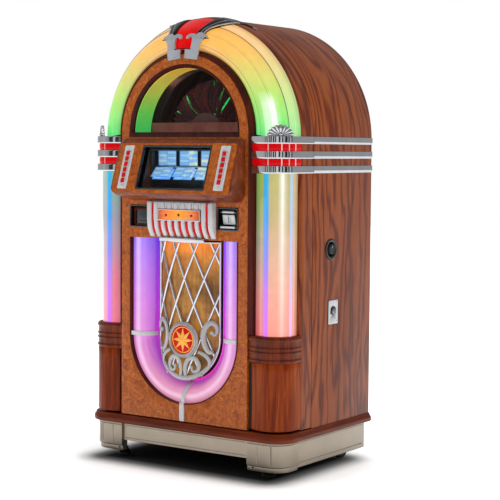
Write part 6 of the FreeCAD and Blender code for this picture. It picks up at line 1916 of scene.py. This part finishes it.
def running_gear():
    """Castor tyres and hubs, and the screw feet."""
    for side in ("left", "right"):
        low, high = span(f"castor_wheel_{side}")
        middle = (low + high) / 2
        radius = (high.z - low.z) / 2
        wide = high.x - low.x

        def about(a, b, c, middle=middle, wide=wide):
            return (middle.x - wide / 2 + c, middle.y + a, middle.z + b)
        tyre = Form()
        tread = [(radius * 0.66, 1), (radius - 4, 0.4), (radius - 1.2, 2.2), (radius, wide * 0.3),
                 (radius, wide * 0.7), (radius - 1.2, wide - 2.2), (radius - 4, wide - 0.4),
                 (radius * 0.66, wide - 1)]
        tyre.lathe(tread, about, 56)
        tyre.make(f"castor_tyre_{side}", f"{side}_castor_wheel", RUBBER,
                  [f"castor_wheel_{side}"])
        hub = Form()
        rim = radius * 0.65
        hub.lathe([(5, 0), (9, 0), (10, 2.5), (rim - 4, 3.5), (rim, 1.4), (rim, wide - 1.4),
                   (rim - 4, wide - 3.5), (10, wide - 2.5), (9, wide), (5, wide)], about, 40)
        for k in range(5):
            angle = 2 * math.pi * k / 5
            hub.rod([about(10 * math.cos(angle), 10 * math.sin(angle), wide / 2),
                     about(rim * math.cos(angle), rim * math.sin(angle), wide / 2)], wide * 0.42, 8)
        hub.make(f"castor_hub_{side}", f"{side}_castor_wheel", GREY)
        low, high = span(f"levelling_foot_{side}")
        middle = (low + high) / 2

        def upright(a, b, c, middle=middle):
            return (middle.x + a, middle.y + b, c)
        foot = Form()
        foot.lathe([(0.02, low.z), (22.5, low.z), (24, low.z + 1.5), (24, 8), (21, 13), (13, 18), (9, 20),
                    (0.02, 20)], upright, 48, closed=False)
        nut = [(11 * math.cos(math.pi * k / 3), 11 * math.sin(math.pi * k / 3)) for k in range(6)]
        foot.plate([rounded(nut, 1, 2)], 9, lambda a, b, c: upright(a, b, 20 + c), 1.0)
        thread = [(0.02, 29)]
        turns = int((high.z - 29) / 2)
        for k in range(turns):
            thread += [(5.2, 29 + 2 * k), (6.0, 30 + 2 * k)]
        thread += [(5.2, high.z), (0.02, high.z)]
        foot.lathe(thread, upright, 24, closed=False)
        foot.make(f"screw_foot_{side}", f"{side}_levelling_foot", FOOT_BLACK,
                  [f"levelling_foot_{side}"])


# ---------------------------------------------------------------- mechanism and sound gear

def mechanism():
    """The disc mechanism behind the window."""
    for node, material in (("mechanism_frame", MILD), ("carousel_hub", HUB_BROWN), ("disc_carriage", SATIN),
                           ("inner_boards", BOARD), ("castor_forks", MILD), ("hinge_cabinet_leaves", SATIN),
                           ("hinge_door_leaves", SATIN), ("latch_bolt", MILD), ("stored_discs", DISC),
                           ("playing_disc", DISC), ("sound_system", SOFT_BLACK)):
        dress(node, material)
    low, high = span("carousel_hub")
    centre_z = (low.z + high.z) / 2
    spokes = Form()

    def place(a, b, c):
        return (a, low.y + c, centre_z + b)
    spokes.lathe([(26, 0.4), (30, 0.0), (52, 0.2), (54, 2), (50, 3), (28, 3)], place, 48)
    spokes.make("carousel_trim", "carousel", GOLD)


def dress(node, material, bevel=0.7):
    """Gives a CAD node its material and softened edges, after welding its points together."""
    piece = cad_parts[node]
    piece.data.materials.clear()
    piece.data.materials.append(material)
    weld = piece.modifiers.new("weld", "WELD")
    weld.merge_threshold = 0.00002
    edge = piece.modifiers.new("edges", "BEVEL")
    edge.width = bevel * MM
    edge.segments = 2
    edge.limit_method = "ANGLE"
    edge.angle_limit = math.radians(50)
    edge.use_clamp_overlap = True


SPEAKER_FACE = -60.0                   # the loudspeakers' mounting face


def sound_gear():
    """Loudspeaker cones and surrounds behind the grille."""
    cones = Form()

    def woofer(a, b, c):
        return (a, SPEAKER_FACE + c, BOW_Z + b)
    cones.lathe([(0.02, 26), (30, 22), (38, 34), (104, 4), (112, 0), (120, -4.5), (128, 0), (134, 2),
                 (134, 6), (104, 8), (38, 38), (0.02, 40)], woofer, 64, closed=False)
    for side in (-1, 1):
        def tweeter(a, b, c, side=side):
            return (side * TWEETER[0] + a, SPEAKER_FACE + c, TWEETER[1] + b)
        cones.lathe([(0.02, 2), (9, 5), (12, 10), (28, 2), (33, -1.5), (37, 1), (37, 4), (12, 13),
                     (0.02, 13)], tweeter, 40, closed=False)
    cones.make("speaker_cones", "cabinet", SOFT_BLACK)
    ring = Form()
    ring.lathe([(134, -2), (142, -2), (143, 0), (143, 0.6), (134, 0.6)], woofer, 64)
    ring.make("speaker_ring", "cabinet", SATIN)


# ---------------------------------------------------------------- coloured finishes

def lit_column(name, runs, pale):
    """Column light: three runs of colour across the section, two lamp rods and a white line that is a
    painted highlight.
    """
    def glow(s):
        u = s.split(s.place("UV"))[0]
        inner, middle, outer = [height_glow(run, LENS_LOW.z, LENS_HIGH.z)(s) for run in runs]
        colour = s.mix(s.span(u, 0.14, 0.34), inner, middle)
        colour = s.mix(s.span(u, 0.66, 0.9), colour, outer)
        rods = height_glow(ROD_RUN, LENS_LOW.z, LENS_HIGH.z)(s)
        pale_rods = s.mix(0.35, rods, rgb("ffffff"))
        for (centre, half), tone in zip(STRIPS, (rods, pale_rods)):
            away = s.math("ABSOLUTE", s.minus(u, centre))
            colour = s.mix(s.span(away, half * 0.95, half * 0.6), colour, tone)
        # painted highlight: a white vertical line on the lens, stronger towards the top; pale sets its
        # strength
        z = s.split(s.place())[2]
        high = s.span(z, LENS_LOW.z * MM, LENS_HIGH.z * MM, 0.25, 1.0)
        lamp = s.ramp(u, [(0.0, 0.0), (0.50, 0.0), (0.555, 0.5), (0.58, 1.0), (0.60, 1.0), (0.635, 0.4),
                          (0.70, 0.0)])
        return s.mix(s.times(s.times(lamp, high), pale), colour, rgb("fffdf6"))
    return lamp_plastic(name, glow, 0.5, 0.86)


def lit_ornament(name, tint, core, strength):
    """Red lens with a little light of its own; on parts that are no lamp this glow is painted light."""
    def glow(s):
        cloud = s.noise(s.place(), 24.0, 2.0, 0.5)
        return s.mix(s.span(cloud, 0.3, 0.7), rgb(tint), rgb(core))
    return lamp_plastic(name, glow, 0.7, strength, tint, 0.2, edges=False, coat=0.04, mirror=0.12)


def page_glow(name, tint, core, strength):
    """Backlit printed card: a cool light with soft painted clouds and fine dots."""
    s = Shader(name)
    where = s.place()
    cloud = s.noise(where, 17.0, 3.0, 0.55, 0.6)
    dots = s.cells(where, 700.0)
    colour = s.ramp(cloud, [(0.34, tint), (0.52, tint), (0.68, core)])
    colour = s.mix(s.span(dots, 0.1, 0.5, 0.25, 0.0), colour, rgb("10204a"))
    return s.surface(Base_Color=colour, Roughness=0.5, Emission_Color=colour, Emission_Strength=strength)


def tube_glow(s):
    """Light of the tube: pink to violet with height, deeper along the edge beside the grille (UV u = 1)."""
    u = s.split(s.place("UV"))[0]
    body = height_glow(TUBE_RUN, TUBE_LOW.z, TUBE_HIGH.z)(s)
    deep = height_glow(TUBE_EDGE, TUBE_LOW.z, TUBE_HIGH.z)(s)
    # painted highlight: a pale streak along each leg of the tube
    lamp = s.ramp(u, [(0.0, 0.0), (0.22, 0.05), (0.34, 0.42), (0.46, 0.05), (0.6, 0.0)], "EASE")
    colour = s.mix(s.span(u, 0.52, 0.84), body, deep)
    return s.mix(lamp, colour, rgb("f4d8f0"))


def band_glow(s):
    """Red lens of the bands, with three thin pale streaks, painted highlights, where it turns the corner of
    the column.
    """
    x, y, _ = s.split(s.place())
    across, along = 0.821, 0.570
    q = s.plus(s.times(s.math("ABSOLUTE", x), across), s.times(y, along))
    start = (across * RED_EDGE + along * LENS_LOW.y) * MM
    finish = (across * (CORNER_X + CORNER + 9) + along * DOOR_BACK) * MM
    share = s.span(q, start, finish)
    # painted highlights: thin pale vertical streaks across the red lens
    stops = [(0.0, 0.0)]
    for spot, level in ((0.33, 0.5), (0.60, 0.9), (0.75, 0.5), (0.88, 0.7)):
        stops += [(spot - 0.014, 0.0), (spot - 0.004, level), (spot + 0.004, level), (spot + 0.014, 0.0)]
    return s.mix(s.ramp(share, stops), rgb("c80008"), rgb("ffe8e0"))


LEFT_RUNS = ([(0.0, "e6587c"), (0.30, "e0607e"), (0.52, "b07c96"), (0.75, "8a94a0"), (1.0, "66b483")],
             [(0.0, "e88aa4"), (0.4, "c49aac"), (0.7, "a4a8ac"), (1.0, "98b4a4")],
             [(0.0, "e6a8b8"), (0.5, "bcb0b6"), (1.0, "a6b0b0")])
RIGHT_RUNS = ([(0.0, "ee6c72"), (0.28, "d88c84"), (0.55, "a89c86"), (0.78, "94a860"), (1.0, "8cb44c")],
              [(0.0, "f08c78"), (0.28, "e8a088"), (0.55, "d2aa86"), (0.8, "bcac70"), (1.0, "b4b064")],
              [(0.0, "f0907c"), (0.35, "e2a888"), (0.7, "d0b088"), (1.0, "d4b484")])
ROD_RUN = [(0.0, "d85cf0"), (0.25, "c06cf4"), (0.48, "7c80f6"), (0.72, "209cf4"), (1.0, "08b0e4")]
TUBE_RUN = [(0.0, "d488a4"), (0.14, "d480ae"), (0.34, "d074c4"), (0.6, "c86cd4"), (0.8, "b46ce2"),
            (1.0, "9464ee")]
TUBE_EDGE = [(0.0, "a8489c"), (0.2, "9c34b0"), (0.5, "b030c8"), (0.8, "9434d4"), (1.0, "6a34e0")]
# the last number is the strength of the painted white highlight on each column
COLUMN = {"left": lit_column("column_plastic_left", LEFT_RUNS, 0.3),
          "right": lit_column("column_plastic_right", RIGHT_RUNS, 0.9)}
TUBE = lamp_plastic("tube_plastic", tube_glow, 0.7, 0.9)
MAGENTA_EDGE = lamp_plastic("edge_plastic", height_glow([(0.0, "e02890"), (0.5, "d020d0"), (1.0, "8038f0")],
                                                        TUBE_LOW.z, TUBE_HIGH.z), 0.8, 0.8, edges=False)
LINER = lamp_plastic("liner_plastic", liner_glow, 0.9, 0.9, edges=False)
BASE_WOOD = gloss_wood("base_wood_gloss", "98440c", "702604", "300c02", (46.0, 46.0, 2.6), 0.1, 0.06)
COLLAR_WOOD = gloss_wood("collar_wood", "7a300a", "561b04", "280a02", coat=0.22, mirror=0.08)
MOULDING = gloss_wood("moulding_wood", "7c320c", "5a1e05", "300c03", (3.0, 3.0, 60.0), 0.22, 0.08)
CONSOLE_WOOD = gloss_wood("console_wood", "8c4420", "662a12", "3a150a", (30.0, 12.0, 12.0), 0.12, 0.3)
BOARD_BACK = board("back_board", "2a211b")
# painted shade: the reflector board is coloured near-black for the dark inside of the cabinet
BOARD_IN_SHADE = board("reflector_painted_shade", "2c1c1a")
BEZEL = gloss_wood("bezel_lacquer", "48160c", "300d07", "180604", coat=0.05, mirror=0.12)
BLACK_GLOSS = plastic("gloss_black", "060607", 0.16, 500.0, 0.03, 0.6)
CASTING = plastic("crown_casting", "8f9297", 0.3, 300.0, 0.05, 0.25)
RIB_SILVER = plastic("rib_silver", "b0b1b3", 0.28, 300.0, 0.04, 0.5)
KEY_SILVER = plastic("key_silver", "b4b6b8", 0.3, 300.0, 0.04, 0.3)
FOOT_BLACK = plastic("foot_black", "15120f", 0.5, mirror=0.2)
ARM_BLACK = plastic("arm_black", "030304", 0.2, 500.0, 0.03, 0.0, 0.22)
SCROLL_SILVER = plastic("scroll_silver", "9a9b9c", 0.26, 300.0, 0.04, 0.6)
STAR_GOLD = plastic("star_gold", "f0a83a", 0.35, 300.0, 0.04, 0.3)
HUB_BROWN = hub_skin()
RED_LIGHT = lit_ornament("red_lens", "b40008", "d0040c", 0.75)
BAND_RED = lamp_plastic("band_red", band_glow, 0.7, 0.8, "b40008", 0.2, edges=False, coat=0.04, mirror=0.12)
CROWN_RED = lit_ornament("crown_red", "c80000", "de0000", 0.85)
KEY_RED = lit_ornament("key_red", "c41010", "e01a18", 0.55)
# painted light: the enamel disc of the medallion glows
ENAMEL = lit_ornament("red_enamel", "b80404", "d00a08", 0.7)
# painted light: the coin return's frame and the card motifs glow faintly
SHELF_RED = lit_ornament("shelf_red", "501410", "6c1c14", 0.2)
# painted light: the window's shelf glows as if lit by the liner
FASCIA = lit_ornament("fascia_brown", "6c3a32", "7e4a40", 0.75)
PAGE_BLUE = page_glow("page_blue", "5c98dc", "b4d4f0", 0.9)
STRIP_PALE = page_glow("strip_pale", "a0c6ea", "e4e8b0", 0.85)
STRIP_BLUE = page_glow("strip_blue", "7fb0e4", "b4b4ec", 0.85)
LABEL = lamp_plastic("label_orange", lambda s: s.ramp(s.span(s.math("ABSOLUTE", s.split(s.place())[0]), 0.0,
                                                             0.085),
                                                      [(0.0, "ff9a18"), (0.6, "f4760c"), (1.0, "b03a08")]),
                     0.9, 0.95, edges=False, coat=0.05, mirror=0.1)


# ---------------------------------------------------------------- building everything

for build in (cabinet_shell, base_moulding, plinth, back_panel, column_lenses, column_bases, door_frame,
              arch_lens, bands, band_lenses, shell_ornaments, front_panel, window_parts, console,
              title_pages, title_leaf, key_plates, selector_ribs, selector_inserts, title_card,
              coin_recesses, coin_entry, coin_return, coin_chute, light_tube, tube_trim, grille_lattice,
              scrollwork, grille_cloth, medallion, crown_lens, crown_brackets, crown_arms, volume_knob,
              door_lock, running_gear, mechanism, sound_gear):
    build()


# ---------------------------------------------------------------- floor, light and camera

def stage():
    """Pale floor that runs out to a white background, with a painted shadow round and under the jukebox."""
    s = Shader("floor_paper")
    grain = s.noise(s.place(), 60.0, 3.0, 0.5)
    xyz = s.split(s.place())
    beyond = []
    for value, half in ((xyz[0], 0.325), (xyz[1], 0.21)):
        beyond.append(s.math("MAXIMUM", s.minus(s.math("ABSOLUTE", value), half), 0.0))
    away = s.math("SQRT", s.plus(s.math("POWER", beyond[0], 2.0), s.math("POWER", beyond[1], 2.0)))
    # painted shadow: the floor's glow falls away close round the plinth's footprint
    glow = s.ramp(away, [(0.0, 0.0), (0.06, 0.06), (0.13, 0.42), (0.32, 0.75), (0.8, 1.0)], "EASE")
    paper = s.ramp(grain, [(0.0, "f4f4f4"), (1.0, "fbfbfb")])
    # painted shadow: the floor is darkest under the plinth and fades to white about 0.15 m out
    dim = s.ramp(away, [(0.0, "303030"), (0.035, "585858"), (0.09, "d8d8d8"), (0.15, "ffffff")], "EASE")
    s.surface(Base_Color=s.mix(1.0, paper, dim, "MULTIPLY"), Roughness=0.8,
              Specular_IOR_Level=0.1, Emission_Color=rgb("ffffff"), Emission_Strength=glow)
    mesh = bpy.data.meshes.new("floor")
    size = 14.0
    mesh.from_pydata([(-size, -size, 0), (size, -size, 0), (size, size, 0), (-size, size, 0)], [],
                     [(0, 1, 2, 3)])
    mesh.materials.append(s.material)
    placed("floor", mesh)


LIGHTS = (                             # name, place, target, size, power, colour
    ("overhead", (0.3, 0.2, 3.6), (0, 0, 0), (4.0, 4.0), 46, "ffffff"),
    ("left_box", (-2.6, -2.6, 2.0), (0, 0, 0.8), (1.6, 2.4), 34, "ffffff"),
    ("right_box", (3.4, -0.6, 2.3), (0.3, 0, 0.9), (1.4, 2.4), 36, "fff4ea"),
    ("back_box", (-1.5, 3.2, 2.2), (0, 0.2, 0.9), (2.2, 2.2), 40, "ffffff"),
    ("window_lamp", (-0.1, -0.14, 1.29), (0.05, 0.03, 1.12), (0.26, 0.03), 0.5, "ffb4a4"),
)


def area_light(name, place, target, size, power, tint):
    """A soft box that polished surfaces do not show."""
    data = bpy.data.lights.new(name, "AREA")
    data.shape = "RECTANGLE"
    data.size, data.size_y = size
    data.energy = power
    data.color = rgb(tint)[:3]
    lamp = placed(name, data)
    lamp.location = place
    lamp.visible_glossy = False
    lamp.rotation_mode = "QUATERNION"
    lamp.rotation_quaternion = (Vector(target) - Vector(place)).to_track_quat("-Z", "Y")


# brightness of the room round the object, by share of a turn: what polished surfaces see
ROOM = ((0.0, 0.52), (0.08, 0.60), (0.13, 0.48), (0.172, 0.05), (0.188, 0.80), (0.200, 0.05), (0.214, 0.85),
        (0.226, 0.04), (0.236, 0.55), (0.250, 0.04), (0.262, 1.0), (0.276, 0.05), (0.296, 0.75),
        (0.308, 0.04), (0.322, 1.0), (0.348, 0.30), (0.358, 0.04), (0.378, 0.90), (0.396, 0.04),
        (0.414, 0.60), (0.438, 0.03), (0.470, 0.50), (0.486, 0.10), (0.505, 0.65), (0.530, 0.10),
        (0.550, 0.45), (0.76, 0.34), (0.88, 0.52))


def studio_world():
    """White to the camera; polished surfaces see a dim room with tall soft boxes in it."""
    world = bpy.data.worlds.new("studio")
    bpy.context.scene.world = world
    world.use_nodes = True
    tree = world.node_tree
    tree.nodes.clear()

    def node(kind, inputs=None, **settings):
        return add_node(tree, kind, inputs, **settings)

    xyz = node("SeparateXYZ", {0: node("TexCoord").outputs["Generated"]}).outputs
    turn = node("Math", {0: xyz[1], 1: xyz[0]}, operation="ARCTAN2").outputs[0]
    share = node("MapRange", {0: turn, 1: -math.pi, 2: math.pi, 3: 0.0, 4: 1.0}).outputs[0]
    boxes = colour_ramp(tree, share, ROOM, "CONSTANT")
    height = node("MapRange", {0: xyz[2], 1: 0.35, 2: 0.8, 3: 0.0, 4: 1.0}).outputs[0]
    room = node("MixRGB", {0: height, 1: boxes, 2: (0.42, 0.42, 0.43, 1)}).outputs[0]
    rays = node("LightPath").outputs
    seen = node("Background", {0: (1, 1, 1, 1), 1: 1.0}).outputs[0]
    soft = node("Background", {0: (1, 1, 1, 1), 1: 0.30}).outputs[0]
    polish = node("Background", {0: room, 1: 1.0}).outputs[0]
    lit = node("MixShader", {0: rays["Is Glossy Ray"], 1: soft, 2: polish}).outputs[0]
    final = node("MixShader", {0: rays["Is Camera Ray"], 1: lit, 2: seen}).outputs[0]
    tree.links.new(final, node("OutputWorld").inputs[0])


CAMERA_TURN = (math.radians(34.782), math.radians(3.868), math.radians(0.376))   # azimuth, elevation, roll
CAMERA_PLACE = (2.9336, -4.0649, 1.0550)
CAMERA_LENS = 105.87


def camera():
    """Camera at the reference viewing angle."""
    azimuth, elevation, roll = CAMERA_TURN
    back = Vector((math.sin(azimuth) * math.cos(elevation), -math.cos(azimuth) * math.cos(elevation),
                   math.sin(elevation)))
    right = Vector((math.cos(azimuth), math.sin(azimuth), 0))
    up = back.cross(right)
    across = right * math.cos(roll) + up * math.sin(roll)
    upward = up * math.cos(roll) - right * math.sin(roll)
    data = bpy.data.cameras.new("camera")
    data.lens = CAMERA_LENS
    data.sensor_width = 36.0
    data.clip_end = 60.0
    view = placed("camera", data)
    view.matrix_world = Matrix.Translation(CAMERA_PLACE) @ Matrix((across, upward,
                                                                   back)).transposed().to_4x4()
    bpy.context.scene.camera = view


stage()
studio_world()
camera()
for light in LIGHTS:
    area_light(*light)
bpy.context.scene.view_settings.view_transform = "Standard"
